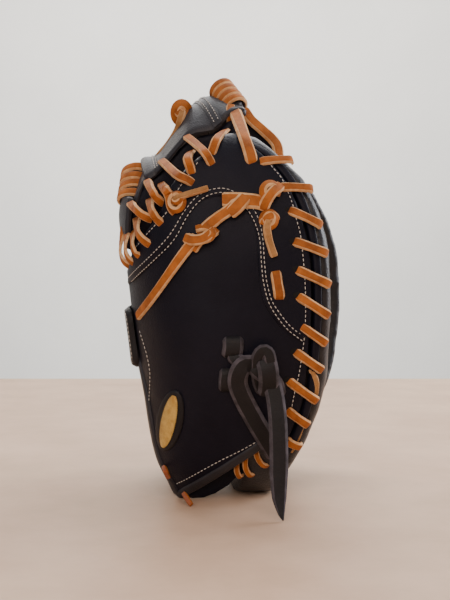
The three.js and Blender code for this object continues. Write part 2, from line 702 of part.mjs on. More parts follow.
// Strap that lies on a side of the mitt, between two places of the side view.
function sideStrap(side, from, to, width, wall, bow = 0, seat = SEAT) {
  const steps = Math.max(2, Math.ceil(Math.hypot(to[0] - from[0], to[1] - from[1]) / 9));
  const points = [];
  const normals = [];
  for (let i = 0; i <= steps; i += 1) {
    const t = i / steps;
    const x = from[0] + (to[0] - from[0]) * t;
    const z = from[1] + (to[1] - from[1]) * t;
    points.push(onSide(side, x, z, seat + wall / 2 + bow * 4 * t * (1 - t)));
    normals.push(sideNormal(side, x, z));
  }
  return strap(points, normals, width, wall);
}

function rimLaces(side, count, name) {
  const low = RIM_LACING[0].height;
  const high = RIM_LACING[RIM_LACING.length - 1].height;
  for (let i = 0; i < count; i += 1) {
    const height = high + ((low - high) * i) / (count - 1);
    const z = height * LOBE_HEIGHT;
    const start = z + LACE_DROP * column(RIM_LACING, "drop", height);
    const x = rimAt(side, start) - LACE_INSET * column(RIM_LACING, "inset", height);
    const lace = sideStrap(side, [x, start], [rimAt(side, z) - LACE_TIP, z], LACE_WIDTH, LACE_WALL);
    place(`${name}_${String(i + 1).padStart(2, "0")}`, lace, LACE);
  }
}

rimLaces(-1, THUMB_LACES, "rim_lace_thumb");
rimLaces(1, FINGER_LACES, "rim_lace_finger");
HEEL_LACES.forEach((row, i) => {
  const seat = 2 * SEAT - PANEL_WALL - GAP;
  const lace = sideStrap(-1, share(row.from), share(row.to), LACE_WIDTH, LACE_WALL, 0, seat);
  place(`heel_lace_${i + 1}`, lace, LACE);
});

// Lace from the web's edge, over the thumb side's upper edge, to a hole in its panel.
function webLace(row, width) {
  const [fromX, fromZ] = share(row.from);
  const [overX, overZ] = share(row.over);
  const [toX, toZ] = share(row.to);
  const out = WEB_HALF_WIDTH * (row.side ?? 1) + GAP + LACE_WALL / 2;
  const lift = SEAT + LACE_WALL / 2;
  const corners = [
    new THREE.Vector3(fromX, -out, fromZ),
    onSide(-1, overX, overZ, lift + 1.2),
    onSide(-1, (overX + toX) / 2, (overZ + toZ) / 2, lift + 0.4),
    onSide(-1, toX, toZ, lift - (row.sink ?? 0)),
  ];
  const path = new THREE.CatmullRomCurve3(corners);
  const points = path.getPoints(6);
  const start = new THREE.Vector3(-0.3, -0.6, 0.7).normalize();
  const normals = points.map((p, i) => {
    const end = sideNormal(-1, toX, toZ);
    return start.clone().lerp(end, Math.min(1, i / 3)).normalize();
  });
  return strap(points, normals, width, LACE_WALL);
}

WEB_LACES.forEach((row, i) => place(`web_lace_${i + 1}`, webLace(row, LACE_WIDTH), LACE));
CORNER_LACES.forEach((row, i) => place(`corner_lace_${i + 1}`, webLace(row, LACE_WIDTH * 0.7), LACE));
place("web_top_lace", webLace(TOP_LACE, 1.4 * LACE_WIDTH), LACE);

// Rounded lump that lies on the thumb panel.
function lump(at, width, height, proud) {
  const [x, z] = at;
  const normal = sideNormal(-1, x, z);
  const right = new THREE.Vector3(0, 0, 1).cross(normal).normalize();
  const up = normal.clone().cross(right);
  const geometry = new THREE.SphereGeometry(1, 10, 6);
  const frame = new THREE.Matrix4().makeBasis(
    right.multiplyScalar(width / 2),
    up.multiplyScalar(height / 2),
    normal.clone().multiplyScalar(proud / 2),
  );
  geometry.applyMatrix4(frame);
  const centre = onSide(-1, x, z, SEAT + proud / 2 + 0.5);
  geometry.translate(centre.x, centre.y, centre.z);
  return geometry;
}

for (const knot of KNOTS) {
  let tied = solid(lump(share(knot.at), knot.width, knot.height, knot.proud));
  for (const strand of knot.strands) {
    tied = tied.add(solid(sideStrap(-1, share(strand.from), share(strand.to), strand.width, LACE_WALL)));
  }
  place(knot.name, geometryOf(tied), LACE);
}
place("lace_stitch", sideStrap(-1, share(STITCH.from), share(STITCH.to), LACE_WIDTH, LACE_WALL), LACE);

for (const loop of LOOPS) {
  place(loop.name, sideStrap(-1, share(loop.from), share(loop.to), ADJUSTER_WIDTH, ADJUSTER_WALL, 1), STRAP);
}
const bandSeat = 0.5 * BINDING_LIFT + SEAT;
const bandEnds = [share(BAND.from), share(BAND.to)];
place("strap_band", sideStrap(-1, ...bandEnds, 0.85 * ADJUSTER_WIDTH, ADJUSTER_WALL, 0.5, bandSeat), STRAP);
const tailPoints = TAIL.map((row) => {
  const y = -row.out * HALF_WIDTH - 1.5 * ADJUSTER_WALL;
  return new THREE.Vector3(row.reach * BACK_REACH, y, row.height * LOBE_HEIGHT);
});
const tailFaces = tailPoints.map(() => new THREE.Vector3(0, -1, 0));
const tail = strap(tailPoints, tailFaces, ADJUSTER_WIDTH, ADJUSTER_WALL);
const knotProud = 0.55 * ADJUSTER_KNOT;
const adjusterKnot = lump(share(ADJUSTER_AT), ADJUSTER_KNOT, 1.25 * ADJUSTER_KNOT, knotProud);
place("strap_knot", geometryOf(solid(adjusterKnot).add(solid(tail))), STRAP);

// Oval patch that follows the thumb panel: a disc of rings between two lifts.
function patch(length, width, lift, wall) {
  const [cx, cz] = share(PATCH.at);
  const around = 20;
  const ring = (scale, height) => Array.from({ length: around }, (_, i) => {
    const angle = (i / around) * 2 * Math.PI;
    const a = (scale * width * Math.cos(angle)) / 2;
    const b = (scale * length * Math.sin(angle)) / 2;
    const x = cx + a * Math.cos(PATCH.lean) + b * Math.sin(PATCH.lean);
    const z = cz - a * Math.sin(PATCH.lean) + b * Math.cos(PATCH.lean);
    return onSide(-1, x, z, height);
  });
  const low = lift;
  const high = lift + wall;
  const under = [ring(0.05, low), ring(0.5, low), ring(1, low)];
  return loft([...under, ring(1, high), ring(0.5, high), ring(0.05, high)]);
}

place("patch_border", patch(PATCH_LENGTH, PATCH_WIDTH, SEAT, PATCH_WALL), STRAP);
const fieldLength = PATCH_LENGTH - 2 * PATCH_RIM;
const fieldWidth = PATCH_WIDTH - 2 * PATCH_RIM;
const fieldLift = SEAT + PATCH_WALL + GAP;
place("patch_field", patch(fieldLength, fieldWidth, fieldLift, PATCH_WALL), GOLD);

const box = new THREE.Box3().setFromObject(mitt);
const middle = box.getCenter(new THREE.Vector3());
mitt.position.set(-middle.x, -middle.y, -box.min.z);

export default mitt;
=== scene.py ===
# %% [markdown]
# # A catcher's mitt that stands on its heel
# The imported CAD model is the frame: it says where each piece is and how large.

# %% Load the frame
import contextlib
import math
import random

import bmesh
import bpy
import numpy as np
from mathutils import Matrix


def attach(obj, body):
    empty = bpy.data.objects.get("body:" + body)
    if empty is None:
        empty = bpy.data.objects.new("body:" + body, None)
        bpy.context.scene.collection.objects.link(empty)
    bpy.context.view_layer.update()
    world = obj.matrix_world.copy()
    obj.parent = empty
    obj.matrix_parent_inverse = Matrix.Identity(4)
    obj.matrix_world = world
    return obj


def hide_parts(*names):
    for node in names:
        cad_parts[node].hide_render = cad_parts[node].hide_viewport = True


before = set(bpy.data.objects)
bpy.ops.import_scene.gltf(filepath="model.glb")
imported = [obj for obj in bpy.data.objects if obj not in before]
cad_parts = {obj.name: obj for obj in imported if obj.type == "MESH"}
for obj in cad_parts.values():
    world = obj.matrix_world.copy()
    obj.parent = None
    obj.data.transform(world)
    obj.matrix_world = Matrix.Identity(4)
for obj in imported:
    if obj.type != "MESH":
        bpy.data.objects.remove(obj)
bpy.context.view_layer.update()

random.seed(11)

# %% [markdown]
# ## Camera
# A mitt on a table is photographed from a little above its middle. The camera comes first, because all
# that follows is judged in its picture. A constraint could aim it, but a fixed place 0.8 m away and a
# fixed pitch are plainer to read.

# %% Camera
CAMERA_PLACE, PITCH_DOWN, LENS = (-0.00702, -0.7943, 0.177), 2.25, 61.1
bpy.ops.object.camera_add(location=CAMERA_PLACE, rotation=(math.radians(90 - PITCH_DOWN), 0, 0))
camera = bpy.context.object
camera.name = "photo_camera"
camera.data.sensor_fit = "VERTICAL"
camera.data.sensor_height = 36
camera.data.lens = LENS
bpy.context.scene.camera = camera
print("camera:", CAMERA_PLACE, "pitched down", PITCH_DOWN)

# %% [markdown]
# ## Helpers for shaping
# Operators act on all that is selected, so each helper first deselects everything. Sizes below are in
# millimetres in the maker's own frame, whose origin is under the hand, and `to_frame` moves them to
# the CAD model's frame in metres.

# %% Helpers
SHIFT = np.array([-7.0203, 5.7023, 0.0])


def to_frame(points):
    return (np.asarray(points, float) + SHIFT) / 1000


def only(piece):
    bpy.ops.object.select_all(action="DESELECT")
    piece.select_set(True)
    bpy.context.view_layer.objects.active = piece


def primitive(kind, **settings):
    bpy.ops.object.select_all(action="DESELECT")
    getattr(bpy.ops.mesh, f"primitive_{kind}_add")(**settings)
    return bpy.context.object


@contextlib.contextmanager
def editing(piece):
    only(piece)
    bpy.ops.object.mode_set(mode="EDIT")
    bpy.ops.mesh.select_all(action="SELECT")
    yield
    bpy.ops.object.mode_set(mode="OBJECT")


def modify(piece, kind, **settings):
    only(piece)
    modifier = piece.modifiers.new(kind.lower(), kind)
    for key, value in settings.items():
        setattr(modifier, key, value)
    bpy.ops.object.modifier_apply(modifier=modifier.name)


def points_of(piece):
    flat = np.empty(3 * len(piece.data.vertices))
    piece.data.vertices.foreach_get("co", flat)
    return flat.reshape(-1, 3)


def set_points(piece, points):
    piece.data.vertices.foreach_set("co", np.ascontiguousarray(points, float).ravel())
    piece.data.update()


def face_out(piece):
    """Turn all faces outwards; a bent sheet can fool the operator, so its volume is checked."""
    with editing(piece):
        bpy.ops.mesh.normals_make_consistent(inside=False)
    shape = bmesh.new()
    shape.from_mesh(piece.data)
    inside_out = shape.calc_volume(signed=True) < 0
    shape.free()
    if inside_out:
        with editing(piece):
            bpy.ops.mesh.flip_normals()


def unit(vectors):
    vectors = np.asarray(vectors, float)
    return vectors / np.maximum(np.linalg.norm(vectors, axis=-1, keepdims=True), 1e-9)


def done(piece, name, material, nodes=(), angle=40):
    """Name a finished piece, give it its material, hang it under the root and hide the parts of the frame
    that it stands for.
    """
    piece.name = name
    piece.data.name = name
    if material is not None:
        piece.data.materials.clear()
        piece.data.materials.append(material)
    only(piece)
    bpy.ops.object.shade_smooth_by_angle(angle=math.radians(angle))
    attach(piece, "root")
    if nodes:
        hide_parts(*nodes)
    print(name, len(piece.data.polygons), "faces")
    return piece


# %% [markdown]
# ## The mitt's form
# A mitt is a shell of two leather sides round a hand, which meet at the back and open to the pocket.
# It could be sculpted, but level sections say how far the back, the rims and the widest part reach at
# each height, and smooth columns join them. So all leather is laid on one surface and nothing floats.

# %% Form of the sides
LOBE_HEIGHT, BACK_REACH, HALF_WIDTH = 280.0, 80.0, 105.0
RIM_REACH = {-1: 74.0, 1: 100.0}
RIM_CURL, WIDEST, SQUARENESS = 9.0, 0.47, 2.4
COLUMNS = {"height": 0, "back": 1, "side": 2, "thumb": 3, "finger": 4}
SECTIONS = np.array([
    [0.0, 0.62, 0.52, 0.49, 0.4], [0.05, 0.66, 0.63, 0.56, 0.48], [0.11, 0.73, 0.73, 0.68, 0.62],
    [0.2, 0.78, 0.84, 0.84, 0.8], [0.29, 0.81, 0.91, 0.94, 0.92], [0.4, 0.86, 0.97, 0.98, 0.98],
    [0.54, 0.92, 1.0, 1.0, 1.0], [0.68, 0.97, 0.99, 0.96, 0.96], [0.81, 1.0, 0.92, 0.8, 0.81],
    [0.9, 1.0, 0.84, 0.53, 0.6], [0.955, 1.0, 0.75, 0.2, 0.38], [1.0, 1.0, 0.66, 0.06, 0.12],
])


def column(name, z):
    heights, values = SECTIONS[:, 0], SECTIONS[:, COLUMNS[name]]
    last = len(heights) - 1
    share = np.asarray(z, float) / LOBE_HEIGHT
    i = np.searchsorted(heights[1:-1], share, side="left")

    def slope(k):
        low, high = np.maximum(k - 1, 0), np.minimum(k + 1, last)
        return (values[high] - values[low]) / (heights[high] - heights[low])

    span = heights[i + 1] - heights[i]
    t = np.clip((share - heights[i]) / span, 0, 1)
    blend = t * t * (3 - 2 * t)
    bow = t * (1 - t) ** 2 * span * slope(i) + t * t * (t - 1) * span * slope(i + 1)
    return values[i] + (values[i + 1] - values[i]) * blend + bow


def rim_at(side, z):
    return RIM_REACH[side] * column("thumb" if side < 0 else "finger", z)


def sizes_at(side, z):
    back, rim = -BACK_REACH * column("back", z), rim_at(side, z)
    return back, rim, back + WIDEST * (rim - back), HALF_WIDTH * column("side", z)


def outer(side, share, z):
    """Point of the surface: share runs from the middle of the back (0) to the rim (1)."""
    back, rim, widest, wide = sizes_at(side, z)
    angle = np.clip(share, 0, 0.5) * math.pi
    q = np.clip(2 * share - 1, 0, None)
    x = np.where(
        share < 0.5,
        widest - (widest - back) * np.maximum(np.cos(angle), 0) ** (2 / SQUARENESS),
        widest + (rim - widest) * q,
    )
    y = np.where(share < 0.5, wide * np.sin(angle) ** (2 / SQUARENESS), wide - RIM_CURL * q * q)
    return np.stack([x, side * y, z + 0 * x], axis=-1)


def outer_normal(side, share, z):
    share = np.clip(share, 0.004, None)
    across = outer(side, share + 0.003, z) - outer(side, share - 0.003, z)
    up = outer(side, share, z + 0.5) - outer(side, share, z - 0.5)
    return unit(-side * np.cross(across, up))


def surface(side, share, z):
    """Points of a side and the outward direction at each."""
    return outer(side, share, z), outer_normal(side, share, z)


def share_of_x(side, x, z):
    back, rim, widest, _ = sizes_at(side, z)
    part = np.clip((widest - x) / (widest - back), 0, 1)
    turned = np.arccos(part ** (SQUARENESS / 2)) / math.pi
    return np.where(x < widest, turned, 0.5 + 0.5 * (x - widest) / (rim - widest))


def share_of_y(side, y, z):
    wide = sizes_at(side, z)[3]
    return np.arcsin(np.clip(abs(y) / wide, 0, 1) ** (SQUARENESS / 2)) / math.pi


def on_side(side, x, z, lift=0.0):
    """Point over a place of the side view, and the outward direction there."""
    x, z = np.asarray(x, float), np.asarray(z, float)
    point, normal = surface(side, share_of_x(side, x, z), z)
    return point + np.asarray(lift)[..., None] * normal, normal


# %% [markdown]
# ## From the picture to the leather
# Laces, knots and seams lie where a sight line from the camera meets the thumb side. The line could be
# cast against a mesh, but the surface has a formula, so a few steps of closing in on it give the place,
# and a piece placed so lies on the leather from every other side too.

# %% Sight lines
FOCAL, MIDDLE, HORIZON, CAMERA_Y, CAMERA_Z = 1019.0, 225.0, 260.0, -800.0, 177.0


def seen_at(u, v, y):
    scale = (y - CAMERA_Y) / FOCAL
    return (u - MIDDLE) * scale, CAMERA_Z - (v - HORIZON) * scale


def seen(u, v):
    y = -90.0
    for _ in range(30):
        x, z = seen_at(u, v, y)
        y += 0.5 * (float(on_side(-1, x, z)[0][1]) - y)
    return seen_at(u, v, y)


def seen_line(*pixels):
    return [seen(u, v) for u, v in pixels]


def smooth(points, step):
    """Evenly spaced points on a smooth curve through a few rows of numbers."""
    p = np.asarray(points, float)
    if len(p) > 2:
        ends = np.vstack([2 * p[0] - p[1], p, 2 * p[-1] - p[-2]])
        t = np.linspace(0, 1, 12, endpoint=False)[:, None]
        parts = []
        for a, b, c, d in zip(ends, ends[1:], ends[2:], ends[3:]):
            rise = 2 * b + (c - a) * t + (2 * a - 5 * b + 4 * c - d) * t ** 2
            parts.append(0.5 * (rise + (3 * b - a - 3 * c + d) * t ** 3))
        p = np.vstack([*parts, p[-1:]])
    length = np.concatenate([[0], np.cumsum(np.linalg.norm(np.diff(p[:, :3], axis=0), axis=1))])
    even = np.linspace(0, length[-1], max(3, int(round(length[-1] / step)) + 1))
    return np.stack([np.interp(even, length, p[:, k]) for k in range(p.shape[1])], axis=1)


# %% [markdown]
# ## Materials
# The mitt is of oiled steerhide, tanned and dyed through, then buffed: a near black with a cool
# cast, a fine pebble grain about 1 mm across and a soft gloss. The laces are rawhide-tan leather:
# a smooth orange-brown grain side, a pale cut edge where the dye does not reach, and a fuzzy
# red-brown flesh side. Colours are written as the eye reads them and turned linear by one function.

# %% Material helpers
def linear(text):
    parts = [int(text[i:i + 2], 16) / 255 for i in (1, 3, 5)]
    return (*[c / 12.92 if c <= 0.04045 else ((c + 0.055) / 1.055) ** 2.4 for c in parts], 1)


def add(tree, kind, inputs=None, **settings):
    made = tree.nodes.new(kind)
    for key, value in settings.items():
        setattr(made, key, value)
    for key, value in (inputs or {}).items():
        if isinstance(value, bpy.types.NodeSocket):
            tree.links.new(value, made.inputs[key])
        else:
            made.inputs[key].default_value = value
    return made


def finish(name, low, high, patch_mm, grain_mm, relief_mm, rough, sheen=0.0, shine=0.5, metal=0.0):
    """Two tones in soft patches, a grain in relief, and a roughness that follows both."""
    material = bpy.data.materials.new(name)
    material.use_nodes = True
    tree = material.node_tree
    shader = tree.nodes["Principled BSDF"]
    place = add(tree, "ShaderNodeTexCoord").outputs["Object"]
    patches = add(tree, "ShaderNodeTexNoise", {
        "Vector": place, "Scale": 1000 / patch_mm, "Detail": 5.0, "Roughness": 0.6})
    grain = add(tree, "ShaderNodeTexVoronoi", {"Vector": place, "Scale": 1000 / grain_mm})
    wrinkle = add(tree, "ShaderNodeTexNoise", {
        "Vector": place, "Scale": 250 / grain_mm, "Detail": 6.0, "Roughness": 0.65})
    tone = add(tree, "ShaderNodeMapRange", {
        "Value": patches.outputs["Fac"], "From Min": 0.35, "From Max": 0.65})
    fine = add(tree, "ShaderNodeMix", {
        "Factor": 0.35, "A": tone.outputs[0], "B": wrinkle.outputs["Fac"]}, data_type="FLOAT")
    colour = add(tree, "ShaderNodeMix", {
        "Factor": fine.outputs[0], 6: linear(low), 7: linear(high)}, data_type="RGBA")
    relief = add(tree, "ShaderNodeMath", {
        0: grain.outputs["Distance"], 1: wrinkle.outputs["Fac"]}, operation="ADD")
    bump = add(tree, "ShaderNodeBump", {
        "Height": relief.outputs[0], "Strength": 0.6, "Distance": relief_mm / 1000})
    gloss = add(tree, "ShaderNodeMapRange", {
        "Value": wrinkle.outputs["Fac"], "To Min": rough - 0.07, "To Max": rough + 0.1})
    tree.links.new(colour.outputs[2], shader.inputs["Base Color"])
    tree.links.new(gloss.outputs[0], shader.inputs["Roughness"])
    tree.links.new(bump.outputs[0], shader.inputs["Normal"])
    shader.inputs["Metallic"].default_value = metal
    shader.inputs["Sheen Weight"].default_value = sheen
    shader.inputs["Specular IOR Level"].default_value = shine
    return material


# %% Materials
STEERHIDE = finish("buffed_black_steerhide", "#090916", "#151522", 60, 1.1, 0.25, 0.48, shine=0.15)
PALM_HIDE = finish("oiled_palm_steerhide", "#101014", "#222227", 45, 1.3, 0.3, 0.38, shine=0.42)
# The web's hide is the same black steerhide drawn lighter: painted highlight for the grey that light lays
# on the web's top. The web pieces, the coil cores and the tape's outside take it.
WEB_HIDE_PAINTED_HIGHLIGHT = finish("shell_steerhide_web_painted_highlight", "#1b1a1f", "#302f35", 40, 1.2, 0.25, 0.46, shine=0.32)
STRAP_HIDE = finish("latigo_strap_leather", "#09080b", "#17151a", 20, 1.0, 0.25, 0.55, shine=0.3)
STRAP_EDGE = finish("latigo_strap_cut_edge", "#2a282b", "#565158", 8, 0.8, 0.2, 0.8, shine=0.2)
LACE_GRAIN = finish("rawhide_lace_grain_side", "#7a4014", "#bb6d28", 12, 0.9, 0.3, 0.7, shine=0.25)
LACE_EDGE = finish("rawhide_lace_cut_edge", "#b5804f", "#e2b98b", 5, 0.6, 0.2, 0.85, shine=0.2)
LACE_FLESH = finish("rawhide_lace_flesh_side", "#7d3a1a", "#a85a2e", 6, 0.7, 0.5, 0.9, sheen=0.3)
LACE_PALE = finish("rawhide_lace_rubbed_side", "#82592f", "#b88a5a", 8, 0.8, 0.4, 0.75, shine=0.2)
THREAD = finish("waxed_nylon_thread", "#b4aea6", "#dad6cf", 6, 0.5, 0.1, 0.6)
GOLD_THREAD = finish("rayon_embroidery_thread", "#b3863a", "#e0bd68", 5, 0.5, 0.1, 0.38, metal=0.25)
HOLE_DARK = finish("punched_hole_shadow", "#060506", "#0b090a", 5, 1.0, 0.1, 0.95)
LACE = (LACE_GRAIN, LACE_EDGE, LACE_FLESH)
PALE_LACE = (LACE_PALE, LACE_EDGE, LACE_PALE)
CUT_TIP = (LACE_FLESH, LACE_GRAIN, LACE_FLESH)
STRAP = (STRAP_HIDE, STRAP_EDGE, STRAP_HIDE)
print("materials:", len(bpy.data.materials))

# %% [markdown]
# ## Laces and straps
# A lace is a long strip with a smooth side, a raw side and two cut edges. A curve with a bevel would
# give a round cord and turn freely, so the strip is a grid instead: it is rolled into a flat tube
# along a path, with its face kept to the leather below, then its seam is merged and its ends closed.

# %% Strap builder
SECTION_POINTS, SECTION_ROUND, EDGE_LEAN = 16, 0.35, 0.2
END_PINCH, EDGE_BAND, WAVE_TURNS = 0.84, 0.6, 9
GRAIN_SIDE, CUT_EDGE, FLESH_SIDE = 0, 1, 2


def strap_mesh(path, normals, width, wall, step=1.6, taper=None, wave=0.0):
    """Strip along a path; its faces are marked as grain side, cut edge or flesh side."""
    rows = smooth(np.hstack([np.asarray(path, float), np.asarray(normals, float)]), step)
    middle, face = rows[:, :3], rows[:, 3:]
    tangent = unit(np.gradient(middle, axis=0))
    across = unit(np.cross(tangent, face))
    face = np.cross(across, tangent)
    count = len(rows)
    piece = primitive("grid", x_subdivisions=SECTION_POINTS, y_subdivisions=count - 1, size=2)
    flat = points_of(piece)
    columns, lines = (np.unique(np.round(flat[:, k], 4)) for k in (0, 1))
    j = np.searchsorted(columns, np.round(flat[:, 0], 4))
    i = np.searchsorted(lines, np.round(flat[:, 1], 4))
    spans = len(columns) - 1
    angle = 2 * math.pi * (j % spans) / spans
    cos, sin = np.round(np.cos(angle), 9), np.round(np.sin(angle), 9)
    pinch = np.where(np.minimum(i, count - 1 - i) == 0, END_PINCH, 1.0)
    along = i / (count - 1)
    wide = width * (1 + wave * np.sin(WAVE_TURNS * along + width))
    if taper is not None:
        wide = wide * np.interp(along, *taper)
    b = 0.5 * wall * pinch * np.sign(sin) * np.abs(sin) ** SECTION_ROUND
    lean = 1 - EDGE_LEAN * b / (0.5 * wall)
    a = 0.5 * wide * lean * pinch * np.sign(cos) * np.abs(cos) ** SECTION_ROUND
    set_points(piece, to_frame(middle[i] + a[:, None] * across[i] + b[:, None] * face[i]))
    for polygon in piece.data.polygons:
        centre = sum(j[v] for v in polygon.vertices) / len(polygon.vertices)
        upper = math.sin(centre * 2 * math.pi / spans)
        wide_side = GRAIN_SIDE if upper > 0 else FLESH_SIDE
        polygon.material_index = CUT_EDGE if abs(upper) < EDGE_BAND else wide_side
    with editing(piece):
        bpy.ops.mesh.remove_doubles(threshold=1e-6)
        bpy.ops.mesh.fill_holes(sides=0)
    face_out(piece)
    for polygon in piece.data.polygons:
        if len(polygon.vertices) > 4:
            polygon.material_index = CUT_EDGE
    return piece


def joined(pieces):
    bpy.ops.object.select_all(action="DESELECT")
    for piece in pieces:
        piece.select_set(True)
    bpy.context.view_layer.objects.active = pieces[0]
    if len(pieces) > 1:
        bpy.ops.object.join()
    return bpy.context.view_layer.objects.active


def dress(piece, materials=LACE):
    """Give a strip its grain side, cut edge and flesh side; a strip is dressed before it is joined."""
    for material in materials:
        piece.data.materials.append(material)
    return piece


def laced(piece, name, node=None, materials=LACE):
    """Finish a lace that is a single strip."""
    return done(dress(piece, materials), name, None, (node,) if node else ())


def hug(rows, side=-1):
    """Path on a side from rows of x, z and lift, with the outward direction at each."""
    rows = np.asarray(rows, float)
    return on_side(side, rows[:, 0], rows[:, 1], rows[:, 2])


def side_strap(rows, width, wall, side=-1, **more):
    return strap_mesh(*hug(rows, side), width, wall, **more)


def seen_rows(*rows):
    """Rows of x, z and lift from rows of picture column, picture row and lift."""
    return [(*seen(u, v), lift) for u, v, lift in rows]


# %% [markdown]
# ## Thread
# A machine seam shows as short dashes that sink at both ends. Bump in a material would not show at
# the edge of a fold, so each dash is a small pointed bead. One is modelled and copied along the seam.

# %% Seam builder
seed = primitive("ico_sphere", subdivisions=1, radius=1)
DASH = points_of(seed)
DASH_FACES = [tuple(p.vertices) for p in seed.data.polygons]
bpy.data.objects.remove(seed)
STITCH_PITCH, STITCH_LENGTH, STITCH_RADIUS = 3.2, 2.4, 0.34


def dashes(places, along, face, length, radius):
    across = unit(np.cross(along, face))
    face = np.cross(across, along)
    points = [
        p + DASH[:, :1] * a * length / 2 + DASH[:, 1:2] * c * radius + DASH[:, 2:] * f * radius
        for p, a, c, f in zip(places, along, across, face)
    ]
    faces = [tuple(k * len(DASH) + v for v in row) for k in range(len(places)) for row in DASH_FACES]
    mesh = bpy.data.meshes.new("dashes")
    mesh.from_pydata(to_frame(np.vstack(points)).tolist(), [], faces)
    piece = bpy.data.objects.new("dashes", mesh)
    bpy.context.scene.collection.objects.link(piece)
    return piece


def seam(path, normals, pitch=STITCH_PITCH, length=STITCH_LENGTH, radius=STITCH_RADIUS):
    rows = smooth(np.hstack([path, normals]), pitch)
    return dashes(rows[:, :3], unit(np.gradient(rows[:, :3], axis=0)), unit(rows[:, 3:]), length, radius)


def side_seam(points, lift, side=-1):
    rows = smooth(points, 4.0)
    return seam(*on_side(side, rows[:, 0], rows[:, 1], lift + 0 * rows[:, 0]))


# %% [markdown]
# ## Leather cut flat, then wrapped
# A back panel is die cut from flat hide and pulled over the hand form. It is made the same way: a fine
# grid is cut to the pattern's outline with a Boolean, its edges are skived thin, and then every point
# is carried onto the mitt's surface. Cutting while it is flat keeps the outline clean and the wall even.

# %% Flat cutting
FLAT_WIDTH, DIE_DEPTH, RIPPLES = 200.0, 10, 6


def cut_flat(outline, cell):
    """Slab 1 mm thick over an outline, on a fine grid."""
    outline = np.asarray(outline, float)
    low, high = outline.min(axis=0) - cell, outline.max(axis=0) + cell
    nx, ny = (int((high[k] - low[k]) / cell) for k in (0, 1))
    slab = primitive("grid", x_subdivisions=nx, y_subdivisions=ny, size=2)
    flat = points_of(slab)
    flat[:, :2] = low + (flat[:, :2] + 1) / 2 * (high - low)
    set_points(slab, flat)
    modify(slab, "SOLIDIFY", thickness=1, offset=0)
    die = primitive("circle", vertices=len(outline), fill_type="NGON")
    set_points(die, np.column_stack([outline, np.full(len(outline), -DIE_DEPTH / 2)]))
    with editing(die):
        bpy.ops.mesh.extrude_region_move(TRANSFORM_OT_translate={"value": (0, 0, DIE_DEPTH)})
    face_out(die)
    modify(slab, "BOOLEAN", operation="INTERSECT", object=die, solver="MANIFOLD")
    bpy.data.objects.remove(die)
    return slab


def edge_distance(points, outline):
    best = np.full(len(points), 1e9)
    for a, b in zip(outline, np.roll(outline, -1, axis=0)):
        run = b - a
        t = np.clip(((points - a) @ run) / max(run @ run, 1e-9), 0, 1)
        best = np.minimum(best, np.linalg.norm(points - (a + t[:, None] * run), axis=1))
    return best


def ripple(a, b, size):
    """Gentle waves of hide over a flat place, from a few fixed directions."""
    total = 0 * a
    for k in range(RIPPLES):
        turn, wave = 1.1 * k + 0.4, 2 * math.pi / (34 + 13 * k)
        total = total + np.sin(wave * (a * math.cos(turn) + b * math.sin(turn)) + 2.3 * k)
    return size * total / 3


def wrapped(outline, cell, wall, lift, carry, skive=2.4, waves=0.35, low_edge=0.3):
    """Cut an outline and carry it onto a surface; carry turns flat places into points and normals."""
    outline = np.asarray(outline, float)
    piece = cut_flat(outline, cell)
    flat = points_of(piece)
    depth = np.clip(edge_distance(flat[:, :2], outline) / skive, 0, 1)
    crown = low_edge + (1 - low_edge) * np.sqrt(1 - (1 - depth) ** 2)
    above = flat[:, 2] > 0
    points, normals = carry(flat[:, 0], flat[:, 1])
    height = lift + np.where(above, wall * crown, 0) + depth * ripple(flat[:, 0], flat[:, 1], waves)
    set_points(piece, to_frame(points + height[:, None] * normals))
    face_out(piece)
    return piece


def carry_side(side):
    return lambda a, z: surface(side, a / FLAT_WIDTH, z)


def carry_flat(place, turn):
    """Flat piece standing at a place across the mitt, its face turned to one side."""
    def carry(a, b):
        return np.stack([a, place + 0 * a, b], axis=1), np.tile([0.0, turn, 0.0], (len(a), 1))
    return carry


def flat_side(side, points):
    points = np.asarray(points, float)
    return np.stack([FLAT_WIDTH * share_of_x(side, points[:, 0], points[:, 1]), points[:, 1]], axis=1)


# %% [markdown]
# ## Back panels
# The thumb side and the finger side each have a shell of one hide 3 mm thick, from the rim welt round
# to the middle of the back, with the hand opening cut out of it. A free sheet could be bent to fit,
# but an outline drawn on the form's own shares and heights keeps the panel and the welt in line.

# %% Panel outlines
THUMB_EDGE = np.array([
    [-1.1, 0.61], [-0.9, 0.613], [-0.81, 0.67], [-0.7, 0.705], [-0.56, 0.757], [-0.47, 0.82],
    [-0.28, 0.875], [-0.1, 0.917], [-0.03, 0.947], [0.05, 0.955], [0.13, 0.952],
]) * [BACK_REACH, LOBE_HEIGHT]
FINGER_EDGE = np.array([
    [-1.1, 0.61], [-0.9, 0.62], [-0.78, 0.7], [-0.62, 0.76], [-0.48, 0.83], [-0.32, 0.89],
    [-0.14, 0.95], [-0.02, 0.985], [0.08, 0.995], [0.2, 0.985],
]) * [BACK_REACH, LOBE_HEIGHT]
OPENING = np.array([
    [0.45, -0.05], [0.47, 0.1], [0.48, 0.24], [0.42, 0.34], [0.3, 0.41], [0.12, 0.45], [0.0, 0.462],
]) * [HALF_WIDTH, LOBE_HEIGHT]
WRIST_LOW, WRIST_HIGH, WRIST_FRONT = np.array([-32.8, 0.0]), np.array([28.0, 43.4]), (40.0, 36.4)
PANEL_INSET, ROLL_INSET, ROLL_RADIUS = 14.0, 9.5, 3.0
EDGES = {-1: THUMB_EDGE, 1: FINGER_EDGE}
FRONT_TOP = {-1: 0.925, 1: 0.96}


def front_line(side, inset, low=0.135, count=24):
    z = np.linspace(FRONT_TOP[side], low, count) * LOBE_HEIGHT
    return np.stack([rim_at(side, z) - inset, z], axis=1)


def opening_line(side, grow=0.0):
    rows = smooth(OPENING, 4.0)
    rows = rows[rows[:, 1] > 3.0]
    rows[:, 0] += grow * np.clip(rows[:, 0] / 20, 0, 1)
    rows[:, 1] += grow * np.clip(1 - rows[:, 0] / 30, 0, 1)
    return rows


